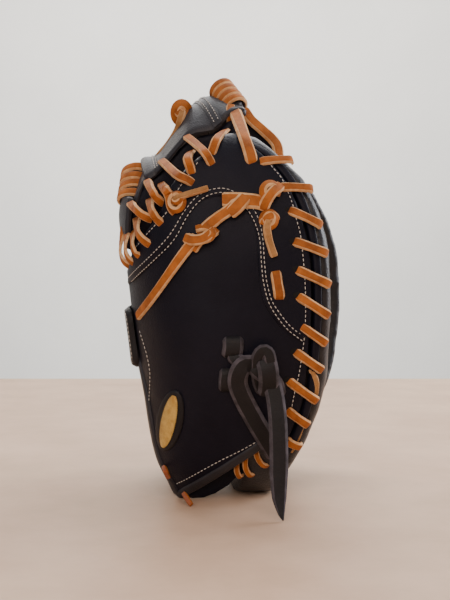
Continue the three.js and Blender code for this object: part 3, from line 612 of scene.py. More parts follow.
def panel_outline(side):
    edge = smooth(EDGES[side], 4.0)
    wrist = np.linspace(WRIST_HIGH, WRIST_LOW + (0, 2.0), 14)
    low = np.vstack([front_line(side, PANEL_INSET), [WRIST_FRONT], wrist])
    opening = opening_line(side)
    back = np.stack([FLAT_WIDTH * share_of_y(side, opening[:, 0], opening[:, 1]), opening[:, 1]], axis=1)
    upper = flat_side(side, edge)
    keep = np.concatenate([[True], upper[1:, 0] > upper[:-1, 0] + 0.05])
    return np.vstack([upper[keep], flat_side(side, low), back])


SIDES, SHELL_WALL = ((-1, "thumb"), (1, "finger")), 3.0
for side, name in SIDES:
    piece = wrapped(panel_outline(side), 2.4, SHELL_WALL, -SHELL_WALL, carry_side(side), skive=3.0)
    done(piece, f"{name}_shell", STEERHIDE, (f"{name}_panel",))

# %% [markdown]
# ## Sewn-down upper layer
# Over the fingers a second hide is sewn on the shell, so the web's laces pull on two walls. It could be
# raised from the shell itself, but a piece of its own gives the step a true cut edge, so it is cut and
# wrapped as the shell was, from the arch up to the edge at the web.

# %% Upper layer
LAYER_WALL, LAYER_LIFT = 1.5, 0.05
ARCH = seen_line(
    (129, 284), (140, 275), (156, 259), (174, 239), (188, 216), (201, 202), (216, 197), (232, 197),
    (243, 206), (252, 219), (257, 238), (258, 261), (260, 281), (264, 301), (272, 315), (284, 330),
    (300, 342),
)
for side, name in SIDES:
    arch = flat_side(side, smooth(ARCH, 3.0))
    edge = flat_side(side, smooth(EDGES[side], 4.0))
    edge = edge[(edge[:, 0] > 2) & (edge[:, 1] > 172)] - (0, 2.0)
    front = flat_side(side, front_line(side, PANEL_INSET + 1.0))
    front = front[(front[:, 1] > arch[-1, 1] + 2) & (front[:, 1] < edge[-1, 1] - 2)]
    outline = np.vstack([arch[::-1], edge, front])
    piece = wrapped(outline, 2.0, LAYER_WALL, LAYER_LIFT, carry_side(side), low_edge=0.5)
    done(piece, f"{name}_upper_layer", STEERHIDE)

# %% [markdown]
# ## Seams on the sides
# The arch has two rows of cream thread about 3 mm apart, and one row runs down beside the rim. A
# texture could show them, but thread stands up from the hide, so each row is a seam of small beads
# laid on the leather, and most rows are sewn on the finger side too.

# %% Seams
UPPER_LIFT, SHELL_LIFT = 1.75, 0.35
OUTER_ROW = seen_line(
    (131, 277), (153, 255), (171, 235), (185, 212), (198, 197), (214, 190), (230, 191), (247, 203),
    (257, 217), (262, 236), (264, 260), (266, 279), (271, 299), (278, 311), (290, 326), (303, 336),
)
INNER_ROW = seen_line(
    (134, 281), (157, 259), (175, 240), (189, 215), (202, 200), (216, 194), (230, 195), (244, 207),
    (253, 220), (259, 238), (261, 261), (263, 281), (268, 301), (275, 314), (287, 329), (301, 340),
)
RIM_ROW = seen_line(
    (271, 168), (281, 180), (288, 195), (292, 206), (296, 221), (300, 237), (304, 275), (305, 301),
    (305, 319), (304, 337), (299, 372), (294, 394), (292, 405),
)
WEB_SIDE_ROW = seen_line((139, 246), (149, 234), (160, 222), (169, 211), (178, 192), (197, 165))
BACK_ROW = seen_line((140, 332), (146, 352), (149, 366), (150, 378), (149, 400))
WRIST_ROW = seen_line((177, 485), (198, 474), (218, 463), (240, 452), (258, 442))


def sew(name, row, lift, sides=(-1,)):
    for side in sides:
        piece = side_seam(row, lift, side)
        label = name if side < 0 else name.replace("thumb", "finger")
        done(piece, label, THREAD)


sew("thumb_arch_seam_outer", OUTER_ROW, UPPER_LIFT, (-1, 1))
sew("thumb_arch_seam_inner", INNER_ROW, UPPER_LIFT, (-1, 1))
sew("thumb_rim_seam", RIM_ROW, UPPER_LIFT)
sew("thumb_web_seam", WEB_SIDE_ROW, UPPER_LIFT, (-1, 1))
sew("thumb_back_seam", BACK_ROW, SHELL_LIFT)
sew("thumb_wrist_seam", WRIST_ROW, SHELL_LIFT, (-1, 1))

# %% [markdown]
# ## Palm pad
# The palm is a thick felt pad in leather, hollowed into the pocket, with a fat rolled rim. It could be
# swelled with cloth pressure, but a broken-in mitt is stiff and its rims are taut, so the frame's own
# solid is remeshed to 2 mm and its corners are let round off, as hide does over felt. The heel carries
# the mitt, so no point of it may sink under the table.

# %% Palm pad
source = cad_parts["palm_pad"]
palm = source.copy()
palm.data = source.data.copy()
palm.parent = None
bpy.context.scene.collection.objects.link(palm)
with editing(palm):
    bpy.ops.mesh.remove_doubles(threshold=1e-5)
PALM_CELL, PALM_SWELL = 0.0021, 0.4
modify(palm, "REMESH", mode="VOXEL", voxel_size=PALM_CELL)
modify(palm, "SMOOTH", factor=0.5, iterations=14)
p = points_of(palm) * 1000 - SHIFT
normals = np.empty(3 * len(p))
palm.data.vertices.foreach_get("normal", normals)
soft = ripple(p[:, 1] + 0.5 * p[:, 0], p[:, 2], 0.5)
moved = p + (PALM_SWELL + soft)[:, None] * normals.reshape(-1, 3)
moved[:, 2] = np.maximum(moved[:, 2], 0.0)
set_points(palm, to_frame(moved))
done(palm, "palm_leather_pad", PALM_HIDE, ("palm_pad",), angle=80)

# %% [markdown]
# ## Welts and binding
# A rolled leather welt fills the groove between each shell and the palm, and a folded tape binds the
# wrist edge and the hand opening. Both are long strips, so the strap builder makes them: the welt with
# a round section, the tape flat and thick enough to grip the shell's wall.

# %% Welts
WELT_SIZE = 6.4
for side, name in SIDES:
    z = np.linspace(0.1, 0.94 if side < 0 else 0.975, 26) * LOBE_HEIGHT
    path, normals = on_side(side, rim_at(side, z) - ROLL_INSET, z, -ROLL_RADIUS + 0 * z)
    piece = strap_mesh(path, normals, WELT_SIZE, WELT_SIZE, step=3.0)
    for polygon in piece.data.polygons:
        polygon.material_index = GRAIN_SIDE
    done(piece, f"{name}_welt", STEERHIDE, (f"{name}_rim_roll",), angle=80)

# %% Wrist binding
def binding_half(side):
    wrist = np.linspace(WRIST_HIGH, WRIST_LOW, 9) + (-1.6, 3.4)
    share = share_of_x(side, wrist[:, 0], wrist[:, 1])
    opening = opening_line(side, 3.0)
    opening = opening[opening[:, 1] > 12.0]
    shares = np.concatenate([share, share_of_y(side, opening[:, 0], opening[:, 1])])
    return surface(side, shares, np.concatenate([wrist[:, 1], opening[:, 1]]))


path, normals = (
    np.vstack([thumb, finger[::-1][1:]]) for thumb, finger in zip(binding_half(-1), binding_half(1))
)
TAPE_WIDTH, TAPE_WALL, TAPE_SINK = 8.0, 5.6, 1.2
piece = strap_mesh(path - TAPE_SINK * normals, normals, TAPE_WIDTH, TAPE_WALL, step=2.5)
# The tape's grain side and edges take the web's lighter hide, with its painted highlight.
dress(piece, (WEB_HIDE_PAINTED_HIGHLIGHT, WEB_HIDE_PAINTED_HIGHLIGHT, STRAP_HIDE))
done(piece, "wrist_tape", None, ("wrist_binding",), angle=80)

# %% [markdown]
# ## Lining at the wrist
# Behind the wrist edge one looks at the dark lining of the hand's space. A closed floor would look like
# a lid from below, so the lining is one waved sheet that stands inside the tape.

# %% Wrist lining
LINING = [(-37, 16), (-33, 6.7), (-28.6, 1.9), (-24, 0.8), (-16, 1.4), (-7.3, 4.5), (2.2, 10.4),
          (8.8, 17), (13.2, 25.8), (13, 45), (-20, 42), (-38, 32)]
piece = wrapped(LINING, 2.5, 2.2, 0.0, carry_flat(-52.0, -1), waves=0.9)
done(piece, "wrist_lining", STEERHIDE)

# %% [markdown]
# ## Strap over the back
# A plate of strap leather crosses the back of the hand and holds the mitt on it. It has to bend with
# both sides at once, so it is cut flat as a rounded box, wrapped round the back and sewn at its edge.

# %% Back strap
STRAP_TOP, STRAP_WIDTH, STRAP_HALF, STRAP_WALL = 0.505 * LOBE_HEIGHT, 44.0, 49.0, 4.0


def rounded_box(low, high, radius):
    corners = [(high[0], high[1], 0), (low[0], high[1], 90), (low[0], low[1], 180), (high[0], low[1], 270)]
    rows = []
    for x, y, start in corners:
        cx, cy = x - math.copysign(radius, x - low[0] - 1), y - math.copysign(radius, y - low[1] - 1)
        for k in range(7):
            turn = math.radians(start + 15 * k)
            rows.append((cx + radius * math.cos(turn), cy + radius * math.sin(turn)))
    return rows


def carry_back(y, z):
    thumb, finger = (surface(side, share_of_y(side, y, z), z) for side in (-1, 1))
    return [np.where((y < 0)[:, None], a, b) for a, b in zip(thumb, finger)]


box = rounded_box((-STRAP_HALF, STRAP_TOP - STRAP_WIDTH), (STRAP_HALF, STRAP_TOP), 9.0)
piece = wrapped(box, 2.0, STRAP_WALL, 1.4, carry_back, skive=3.0)
done(piece, "hand_back_strap", STRAP_HIDE, ("back_strap",))
inner_box = smooth([*rounded_box((-45.0, STRAP_TOP - 40), (45.0, STRAP_TOP - 4), 7.0)], 3.2)
path, normals = carry_back(inner_box[:, 0], inner_box[:, 1])
done(seam(path + 5.5 * normals, normals), "back_strap_seam", THREAD)

# %% [markdown]
# ## Web
# The web is two arched pieces of shell leather between the lobes. A bent plane would do from one side,
# but each piece has its own crown and its own side edge, so the sheet is spread between two rails: the
# ridge in the middle and the edge that the laces hold.

# %% Web sheets
WEB_HALF, FAR_SKIRT = 42.0, 20.0
UPPER_RIDGE = [(-68.5, 240), (-68, 249), (-66, 255.5), (-62.5, 258), (-55.5, 258.5), (-50.5, 262),
               (-47, 267), (-42.5, 274), (-38.5, 281), (-34.5, 288.5), (-29, 296), (-21.5, 300),
               (-15.5, 304.5), (-8, 305), (2, 302), (11, 298), (17, 292)]
UPPER_SIDE = [(-64.3, 225), (-62.9, 231.5), (-60, 236.5), (-55.1, 240), (-48.6, 245.7), (-42.9, 253),
              (-34.4, 262.8), (-25.1, 271.3), (-10.2, 274.2), (-5.2, 277), (1.9, 283.4), (7.7, 286.4),
              (15.5, 288), (18, 283)]
LOWER_RIDGE = [(-79, 192), (-82, 203), (-82.5, 214), (-81, 226), (-78, 234)]
LOWER_SIDE = [(-73.5, 192), (-73.5, 203), (-72.5, 214), (-70.5, 226), (-68, 234)]


def carry_web(ridge, side_rail):
    ridge, side_rail = (smooth(rail, 1.0) for rail in (ridge, side_rail))

    def rail_at(rail, t):
        place = np.clip(t, 0, 1) * (len(rail) - 1)
        return np.stack([np.interp(place, np.arange(len(rail)), rail[:, k]) for k in (0, 1)], axis=-1)

    def point(t, q):
        top, low = rail_at(ridge, t), rail_at(side_rail, t)
        low = low - np.stack([0 * q, FAR_SKIRT * (q > 0)], axis=-1)
        bend = np.abs(q) ** 2.1
        flat = top + (low - top) * bend[:, None]
        return np.stack([flat[:, 0], WEB_HALF * q, flat[:, 1]], axis=-1)

    def carry(a, b):
        t, q = a / 100, b / WEB_HALF
        across = point(t, q + 0.02) - point(t, q - 0.02)
        along = point(np.clip(t + 0.02, 0, 1), q) - point(np.clip(t - 0.02, 0, 1), q)
        return point(t, q), unit(np.cross(along, across))

    return carry


def web_sheet(name, carry, outline, lift, wall, nodes=()):
    piece = wrapped(outline, 1.8, wall, lift, carry, skive=2.5, waves=0.3, low_edge=0.45)
    # Every web piece, the tongue too, takes the lighter hide with its painted highlight.
    return done(piece, name, WEB_HIDE_PAINTED_HIGHLIGHT, nodes)


upper, lower = carry_web(UPPER_RIDGE, UPPER_SIDE), carry_web(LOWER_RIDGE, LOWER_SIDE)
JOIN_FRONT, JOIN_BACK, JOIN_SLANT = 68.5, 61.5, 8.7


def join_line(start, reach=WEB_HALF, count=16):
    """Line across the web, leaning forwards towards both side edges."""
    b = np.linspace(-reach, reach, count)
    return np.stack([start + JOIN_SLANT * np.abs(b) / WEB_HALF, b], axis=1)


front_end = [(100, WEB_HALF - 8), (100, 8 - WEB_HALF)]
back_end = rounded_box((10, -WEB_HALF), (24, WEB_HALF), 6.0)
middle_back = [(20.5, WEB_HALF), (20.5, -WEB_HALF)]
web_sheet("web_top_shell", upper, [*join_line(JOIN_BACK + 2), *front_end], -3.8, 3.2, ("web_upper",))
web_sheet("web_middle_shell", upper, [*join_line(JOIN_FRONT - 2), *middle_back], -3.2, 3.0)
web_sheet("web_join_band", upper, [*join_line(JOIN_FRONT), *join_line(JOIN_BACK)[::-1]], -0.2, 0.8)
web_sheet("web_end_shell", upper, back_end, -4.2, 3.4)
web_sheet("web_back_shell", lower, rounded_box((0, -WEB_HALF), (78, WEB_HALF), 8.0), -3.8, 3.8,
          ("web_lower",))


def web_seam(name, carry, line, lift):
    path, normals = carry(line[:, 0], line[:, 1])
    done(seam(path + lift * normals, normals), name, THREAD)


web_seam("web_seam_front", upper, join_line(JOIN_FRONT - 1.8, 39, 40), 0.8)
web_seam("web_seam_back", upper, join_line(JOIN_BACK + 1.8, 39, 40), 0.8)
for name, t in (("web_end_seam_front", 22.6), ("web_end_seam_back", 20.8)):
    web_seam(name, upper, np.stack([np.full(30, t), np.linspace(-38, 38, 30)], axis=1), 0.1)

# %% [markdown]
# ## Tongue and walls of the web
# Under the arches the web is closed by a tongue and by dark walls that hang from its edges. Both are
# seen only through the gaps between the laces. A block would fill those gaps too, so each is a thin
# sheet, set inside the edge that the laces hold.

# %% Web tongue
TONGUE_RIDGE = [(-76, 220), (-73.5, 230), (-70, 241), (-65, 252), (-61, 256)]
TONGUE_SIDE = [(-70, 220), (-67.5, 228), (-64, 235), (-59, 240), (-56, 243)]
tongue = carry_web(TONGUE_RIDGE, TONGUE_SIDE)
web_sheet("web_tongue", tongue, rounded_box((0, 3 - WEB_HALF), (100, WEB_HALF - 3), 5.0), -6.0, 2.6)

# %% Web side walls
WALL_TOP = [(-64, 226), (-60, 234), (-55, 237.5), (-48, 243), (-42, 250), (-34, 260), (-25, 268),
            (-10, 271), (-5, 274), (2, 280), (8, 283)]
WALL_LOW = [(8, 262), (-8, 246), (-25, 229), (-42, 211), (-58, 193), (-66, 183), (-75, 186), (-73, 205),
            (-70, 220)]


for name, place, turn in (("thumb_web_wall", -35.0, -1), ("finger_web_wall", 35.0, 1)):
    piece = wrapped([*WALL_TOP, *WALL_LOW], 2.5, 2.0, 0.0, carry_flat(place, turn), waves=0.8)
    done(piece, name, STEERHIDE)
FRONT_WALL = [(15, 290), (22, 284), (33, 272), (41, 262), (45, 252), (45, 240), (20, 240), (12, 264)]
piece = wrapped(FRONT_WALL, 2.5, 2.0, 0.0, carry_flat(-26.0, -1), waves=0.8)
done(piece, "web_front_wall", STEERHIDE)

# %% [markdown]
# ## Lace coils
# Both ends of the web are held by a lace wound four times round them. One turned solid would read as a
# ribbed grip, so each wrap is its own strip: a ring whose face looks outwards, leaning a little into
# its neighbour, with a different small tilt for each.

# %% Coils
COIL_LACE_WIDTH, COIL_LACE_WALL, LACE_WAVE = 6.4, 2.6, 0.04


def coil(name, centre, along, wraps, pitch, radii, nodes):
    along = unit(np.array(along, float))
    out_way = unit(np.cross(np.cross(along, (-0.45, 0.0, 0.9)), along))
    side_way = np.cross(along, out_way)
    turns = []
    for k in range(wraps):
        middle = np.array(centre, float) + along * (k - (wraps - 1) / 2) * pitch
        angle = np.radians(np.linspace(-165, 165, 30)) + random.uniform(-0.08, 0.08)
        lean = random.uniform(-1.2, 1.2)
        cos, sin = np.cos(angle)[:, None], np.sin(angle)[:, None]
        path = middle + cos * out_way * radii[0] + sin * side_way * radii[1] + lean * sin * along
        face = cos * out_way + sin * side_way
        turns.append(dress(strap_mesh(path, face, COIL_LACE_WIDTH, COIL_LACE_WALL, wave=LACE_WAVE)))
    reach = np.array([-0.5, 0.0, 0.5])[:, None] * wraps * pitch * along
    core = strap_mesh(np.array(centre) + reach, [out_way] * 3, 1.5 * radii[1], 1.3 * radii[0], step=4.0)
    done(dress(core, [WEB_HIDE_PAINTED_HIGHLIGHT] * 3), f"{name}_core", None, angle=80)
    return done(joined(turns), name, None, nodes)


coil("top_web_coil", (2.5, -12.0, 301.0), (0.45, -0.6, -0.66), 4, 7.0, (9.0, 9.0), ("web_top_coil",))
coil("back_web_coil", (-69.0, -10.0, 233.0), (-0.08, -0.52, -0.85), 4, 7.6, (11.5, 12.5),
     ("web_back_coil",))

# %% [markdown]
# ## Rim lacing
# Each rim lace comes out of a punched hole in the shell, crosses the welt and goes down through the
# palm's rim. The path dips at both ends, so the strip never ends in the air, and a dark oval under
# its first end stands for the hole. On the finger side, which no picture shows, a loop spaces them.

# %% Rim lacing
LACE_WIDTH, LACE_WALL = 6.0, 2.2
LAY = 0.5 * LACE_WALL
RIM_LACE_LIFTS = ((0.0, -3.2), (0.09, 0.2), (0.2, LAY + 0.2), (0.5, LAY + 1.0), (0.8, LAY + 0.8),
                  (0.93, LAY + 0.3), (1.0, -1.6))
TWO_WALLS, ONE_WALL = 1.4, 0.2
LAYERED_LACES, LAYERED_FROM, LACE_DROP, LACE_REACH = 6, 0.45, 13, 24
holes = []


def hole(x, z, side=-1, size=(3.4, 2.2), lift=0.2):
    piece = primitive("uv_sphere", segments=14, ring_count=6, radius=1)
    middle, normal = on_side(side, x, z, lift)
    right = unit(np.cross(np.array([0.0, 0.0, 1.0]), normal))
    up = np.cross(normal, right)
    round_points = points_of(piece)
    turned = (round_points[:, :1] * size[0] * right + round_points[:, 1:2] * size[1] * up
              + round_points[:, 2:] * 0.3 * normal)
    set_points(piece, to_frame(middle + turned))
    holes.append(piece)


def rim_lace(name, start, end, side, node, ground):
    """One lace over the rim; ground is how high the leather under it stands."""
    (x0, z0), (x1, z1) = start, end
    rows = [(x0 + (x1 - x0) * t, z0 + (z1 - z0) * t, ground + lift) for t, lift in RIM_LACE_LIFTS]
    laced(side_strap(rows, LACE_WIDTH, LACE_WALL, side, wave=LACE_WAVE), name, node)
    hole(x0 + 0.04 * (x1 - x0), z0, side, lift=ground + 0.15)


THUMB_RIM_LACES = [
    ((258, 163), (292, 162)), ((277, 188), (312, 190)), ((287, 210), (321, 226)),
    ((292, 241), (327, 254)), ((295, 269), (330, 285)), ((296, 295), (329, 316)),
    ((298, 324), (327, 344)), ((294, 351), (323, 371)), ((287, 380), (318, 402)),
    ((286, 410), (309, 426)), ((288, 443), (301, 447)),
]
for k, (start, end) in enumerate(THUMB_RIM_LACES):
    ground = TWO_WALLS if k < LAYERED_LACES else ONE_WALL
    number = f"{k + 1:02d}"
    rim_lace(f"thumb_rim_strip_{number}", seen(*start), seen(*end), -1, f"rim_lace_thumb_{number}", ground)

for k, height in enumerate(np.linspace(0.88, 0.16, 9)):
    z = height * LOBE_HEIGHT
    drop = LACE_DROP * np.interp(height, [0.16, 0.3, 0.5, 0.72, 0.8], [0.2, 1.05, 1.0, 0.7, 0.0])
    inset = LACE_REACH * np.interp(height, [0.16, 0.3, 0.65, 0.88], [0.58, 0.88, 0.95, 0.95])
    start = (float(rim_at(1, z + drop)) - inset, z + drop)
    end = (float(rim_at(1, z)) - 3.5, z)
    number = f"{k + 1:02d}"
    ground = TWO_WALLS if height > LAYERED_FROM else ONE_WALL
    rim_lace(f"finger_rim_strip_{number}", start, end, 1, f"rim_lace_finger_{number}", ground)

# %% [markdown]
# ## Heel lacing
# Three short laces close the heel. They are narrower than the rim's and both their ends go in, so they
# are strips of their own, whose first and last places lie under the leather.

# %% Heel lacing
HEEL = [[(22.6, 41.4), (23.3, 35.1), (27.5, 28.7), (33.2, 24.5)],
        [(15.5, 34.4), (14.8, 27.3), (17.7, 21.0), (22.6, 17.4)],
        [(9.2, 30.1), (8.5, 24.5), (10.6, 19.6), (13.4, 17.4)]]
HEEL_LIFTS = (-5.5, -1.2, -0.8, -5.0)
for k, places in enumerate(HEEL):
    rows = [(x, z, lift) for (x, z), lift in zip(places, HEEL_LIFTS)]
    laced(side_strap(rows, 3.8, LACE_WALL), f"heel_strip_{k + 1}", f"heel_lace_{k + 1}")

# %% [markdown]
# ## Laces between web and thumb
# These run from slots in the web's edge, over the shell's upper edge, and into holes in it. They are
# the least even laces of the mitt, so each has its own row: where it leaves the web, where it bends,
# and where it goes in, with the strip's face turning from the web to the side as it comes over.

# %% Web laces
def web_strip(name, start, bend, end, width=LACE_WIDTH, node=None, edge_y=-44.0, side=-1, ground=1.5):
    if side < 0:
        x0, z0 = seen_at(*start, edge_y)
        (x1, z1), (x2, z2) = seen(*bend), seen(*end)
    else:
        (x0, z0), (x1, z1), (x2, z2) = start, bend, end
    y0 = -side * edge_y
    over, over_normal = on_side(side, x1, z1, LAY + ground + 1.0)
    low, low_normal = on_side(side, 0.4 * x1 + 0.6 * x2, 0.4 * z1 + 0.6 * z2, LAY + ground + 0.4)
    end_point, end_normal = on_side(side, x2, z2, -2.4)
    away = np.array([-0.3, 0.6 * side, 0.7])
    path = [(x0 - 1, y0 - 9 * side, z0 - 1), (x0 - 0.5, y0 - 2 * side, z0), over, low, end_point]
    faces = unit([away, away, over_normal, low_normal, end_normal])
    laced(strap_mesh(path, faces, width, LACE_WALL), name, node)


WEB_STRIPS = [
    ((188, 137), (203, 153), (214, 168)), ((226, 131), (217, 142), (210, 158)),
    ((163, 161), (178, 176), (197, 186)), ((192, 152), (188, 160), (193, 178)),
    ((148, 181), (155, 192), (162, 204)), ((162, 184), (167, 191), (174, 199)),
    ((131, 203), (140, 210), (150, 220)), ((150, 200), (155, 212), (164, 227)),
    ((137, 219), (142, 233), (153, 248)),
]
for k, (start, bend, end) in enumerate(WEB_STRIPS):
    node = f"web_lace_{k + 1}" if k < 8 else None
    web_strip(f"web_strip_{k + 1}", start, bend, end, node=node)
web_strip("web_top_strip", (236, 113), (243, 140), (254, 169), 8.4, "web_top_lace", edge_y=-40)
CORNER_STRIPS = [((124, 228), (125, 250), (130, 269)), ((129, 228), (130, 249), (136, 267)),
                 ((134, 229), (137, 246), (142, 259))]
for k, (start, bend, end) in enumerate(CORNER_STRIPS):
    web_strip(f"corner_strip_{k + 1}", start, bend, end, 5.6, f"corner_lace_{k + 1}", edge_y=-30)
FINGER_STRIPS = [
    ((-6.9, 274), (-14, 258), (-8, 240)), ((10, 279), (2, 262), (4, 246)),
    ((-27, 267), (-34, 246), (-22, 228)), ((-45, 249), (-45, 230), (-36, 214)),
    ((-57, 234), (-58, 215), (-50, 200)), ((-70, 218), (-66, 202), (-62, 190)),
]
for k, (start, bend, end) in enumerate(FINGER_STRIPS):
    web_strip(f"finger_web_strip_{k + 1}", start, bend, end, side=1)

# %% [markdown]
# ## Knots
# A knot in flat lace is a strip that passes over and under itself, so a ball would give it away at
# once. Each knot here is a few short strips looped over each other at different heights and joined. Two
# tails are rubbed pale, so they are pieces of their own.

# %% Knots
def ring_rows(u, v, across, up, start, sweep, low, high, count=12):
    rows = []
    for k in range(count + 1):
        angle = math.radians(start + sweep * k / count)
        lift = low + (high - low) * 0.5 * (1 - math.cos(2 * math.pi * k / count))
        rows.append((u + across * math.cos(angle), v - up * math.sin(angle), lift))
    return rows


def looped(rows, width, stand=0.0, wall=LACE_WALL):
    """Strip over the side; stand turns its face away from the middle of its own loop."""
    path, normals = hug(seen_rows(*rows))
    away = unit(path - path.mean(axis=0))
    return strap_mesh(path, unit(normals + stand * away), width, wall, wave=0.03)


def knot(name, runs, node, hole_at=None):
    piece = joined([dress(looped(*run)) for run in runs])
    done(piece, name, None, (node,))
    if hole_at:
        hole(*seen(*hole_at), size=(4.6, 4.6), lift=1.6)


knot("upper_knot", [
    (ring_rows(178, 203, 7, 9, 110, 330, 3.4, 4.4), 4.6, 1.6, 2.6),
    (ring_rows(179, 200, 4.4, 5, 200, 300, 5.0, 6.0), 4.2, 1.2, 2.4),
    ([(165, 187, 1.0), (168, 192, 3.0), (171, 199, 4.0), (172, 207, 3.4), (176, 214, 1.5)], 5.6),
], "lace_knot_upper", (178, 203))
knot("rim_knot", [
    ([(222, 201, 3.0), (232, 201, 3.2), (244, 202, 3.4), (256, 203, 3.6), (266, 206, 3.4)], 10.0),
    (ring_rows(269, 194, 8, 7.5, -30, 320, 4.4, 7.0), 5.6, 1.0, 2.6),
    ([(262, 211, 3.0), (265, 204, 7.0), (270, 197, 9.0), (277, 190, 6.0), (280, 186, 2.0)], 7.0),
    ([(245, 199, 4.5), (240, 205, 6.4), (234, 211, 5.2), (229, 215, 4.2)], 9.0),
], "lace_knot_rim")
knot("middle_knot", [
    ([(237, 204, 4.4), (228, 212, 4.0), (218, 219, 4.2), (207, 228, 3.6), (200, 236, 3.2)], 7.6),
    (ring_rows(202, 235, 11, 6.5, 190, 290, 3.4, 7.0), 5.4, 0.7, 2.6),
    ([(186, 238, 3.0), (194, 241, 6.6), (204, 240, 8.0), (212, 234, 6.4), (216, 230, 3.0)], 7.0),
    ([(196, 240, 3.4), (190, 247, 4.2), (178, 263, 3.2), (165, 281, 2.0), (152, 299, 1.6), (139, 316, 1.6)],
     6.8),
    ([(202, 238, 3.0), (198, 245, 3.6), (194, 251, 3.0)], 5.4),
], "lace_knot_middle")
knot("lower_knot", [
    (ring_rows(268, 221, 7.0, 7.6, -120, 330, 3.4, 4.6), 5.0, 1.2, 2.6),
    ([(262, 226, 3.4), (266, 220, 5.4), (272, 218, 5.4), (276, 222, 3.0)], 6.4),
], "lace_knot_lower", (268, 220))
tails = {
    "upper_knot_tail": ([(175, 202, 3.6), (180, 200, 6.4), (190, 196, 5.6), (199, 193, 4.8),
                         (208, 190, 4.4)], 4.0, 0, 3.4),
    "lower_knot_tail": ([(267, 222, 5.0), (266, 230, 5.4), (268, 240, 4.4), (271, 249, 3.6),
                         (274, 257, 3.2)], 5.0, 0, 3.6),
}
for name, run in tails.items():
    laced(looped(*run), name, materials=PALE_LACE)
knot("short_stitch", [
    ([(275, 270, -2.5), (275.5, 273, 1.6), (277, 284, 3.1), (279, 296, 2.2), (279, 300, -2.0)], 7.0),
], "lace_stitch")

# %% [markdown]
# ## Loop knot on the web
# One lace stands clear of the leather: it turns over itself at the web's shoulder and its end hangs
# down beside it. No surface lies under it, so its path goes through picture places at stated depths.

# %% Loop knot
def facing(rows, width, face=(0.0, -1.0, 0.0), stand=0.0, wall=LACE_WALL):
    """Strip through picture places at stated depths, for laces that stand clear of the side."""
    path = np.array([(x, y, z) for u, v, y in rows for x, z in [seen_at(u, v, y)]])
    away = unit(path - path.mean(axis=0))
    return strap_mesh(path, unit(np.array(face) + stand * away), width, wall, wave=0.03)


loop = [(182 + 7.0 * math.cos(a), 114 - 9.5 * math.sin(a), -16 - 3 * math.sin(a))
        for a in np.radians(np.linspace(-50, 260, 16))]
strips = [
    facing(loop, 8.5, stand=0.7, wall=3.0),
    facing([(192, 108, -12), (188, 113, -19), (183, 115, -22), (177, 112, -18)], 6.5),
]
piece = joined([dress(strip) for strip in strips])
done(piece, "web_loop_knot", None)
piece = facing([(183, 112, -21), (181, 119, -24), (177, 131, -22), (169, 144, -18), (160, 155, -18),
                (156, 161, -14)], 5.4, face=(-0.3, -0.9, 0.3), wall=2.8)
laced(piece, "web_loop_tail", materials=PALE_LACE)

# %% [markdown]
# ## Laces between the lobes
# Behind the top coil a lace crosses from lobe to lobe, and a few ends show at the heel and in the rim's
# groove. They are placed as the loop was, each at the depth of the leather that it comes out of.

# %% Lobe laces and ends
strips = [
    facing([(244, 110, -30), (251, 120, -32), (261, 129, -32), (271, 138, -32), (277, 146, -34),
            (279, 158, -38)], 8.0, face=(0.3, -0.9, 0.3)),
    facing([(231, 106, -30), (230, 116, -36), (233, 127, -30)], 6.5),
]
piece = joined([dress(strip) for strip in strips])
done(piece, "lobe_laces", None)
tip = facing([(247, 142, -66), (240, 146, -74), (233, 154, -80)], 5.4, face=(-0.3, -0.9, 0.4))
laced(tip, "top_tip_strip")

for name, rows, width in (
    ("lower_corner_tip", [(183, 495, -66), (188, 503, -73), (191, 507, -76)], 3.6),
    ("back_edge_tip", [(163, 468, -58), (165, 473, -64), (168, 480, -62)], 3.6),
):
    laced(facing(rows, width), name, materials=CUT_TIP)
for name, rows, width in (
    ("rim_groove_lace_upper", [(312, 370, -1), (317, 383, -0.5), (317, 397, -2)], 4.0),
    ("rim_groove_lace_lower", [(310, 400, -2), (305, 420, -2), (299, 440, -2), (292, 456, -3)], 4.4),
):
    laced(looped(rows, width), name, materials=PALE_LACE)

# %% [markdown]
# ## Thumb adjustment strap
# A black latigo strap passes through two keepers, folds back over a knot and hangs down to the table
# with a pointed end. The strips are wider than the laces and softer, so their turns are rounder.

# %% Adjustment strap
BAND_WALL, KNOT_WALL, BAND_STEP = 2.8, 2.6, 2.0


def strap_strips(runs, wall):
    return [dress(side_strap(seen_rows(*rows), width, wall, step=BAND_STEP), STRAP) for rows, width in runs]


STRAP_RUNS = {
    "upper_keeper": ("strap_loop_upper", [
        ([(233, 337, -1.5), (233, 340, 1.6), (233, 347, 2.6), (232, 354, 2.2), (232, 357, -0.8)], 13.0),
    ]),
    "lower_keeper": ("strap_loop_lower", [
        ([(227, 369, -1.2), (227, 372, 1.6), (226, 380, 2.6), (226, 388, 2.0), (226, 391, -1.0)], 9.4),
    ]),
    "folded_band": ("strap_band", [
        ([(253, 364, 5.0), (244, 363, 7.4), (238, 372, 7.8), (238, 384, 6.6), (245, 401, 5.6),
          (257, 423, 5.0), (269, 443, 4.6), (276, 455, 3.6)], 12.5),
        ([(233, 352, 0.6), (235, 358, 3.0), (244, 362, 3.6), (256, 363, 3.6)], 9.0),
    ]),
}
for name, (node, runs) in STRAP_RUNS.items():
    done(joined(strap_strips(runs, BAND_WALL)), name, None, (node,))

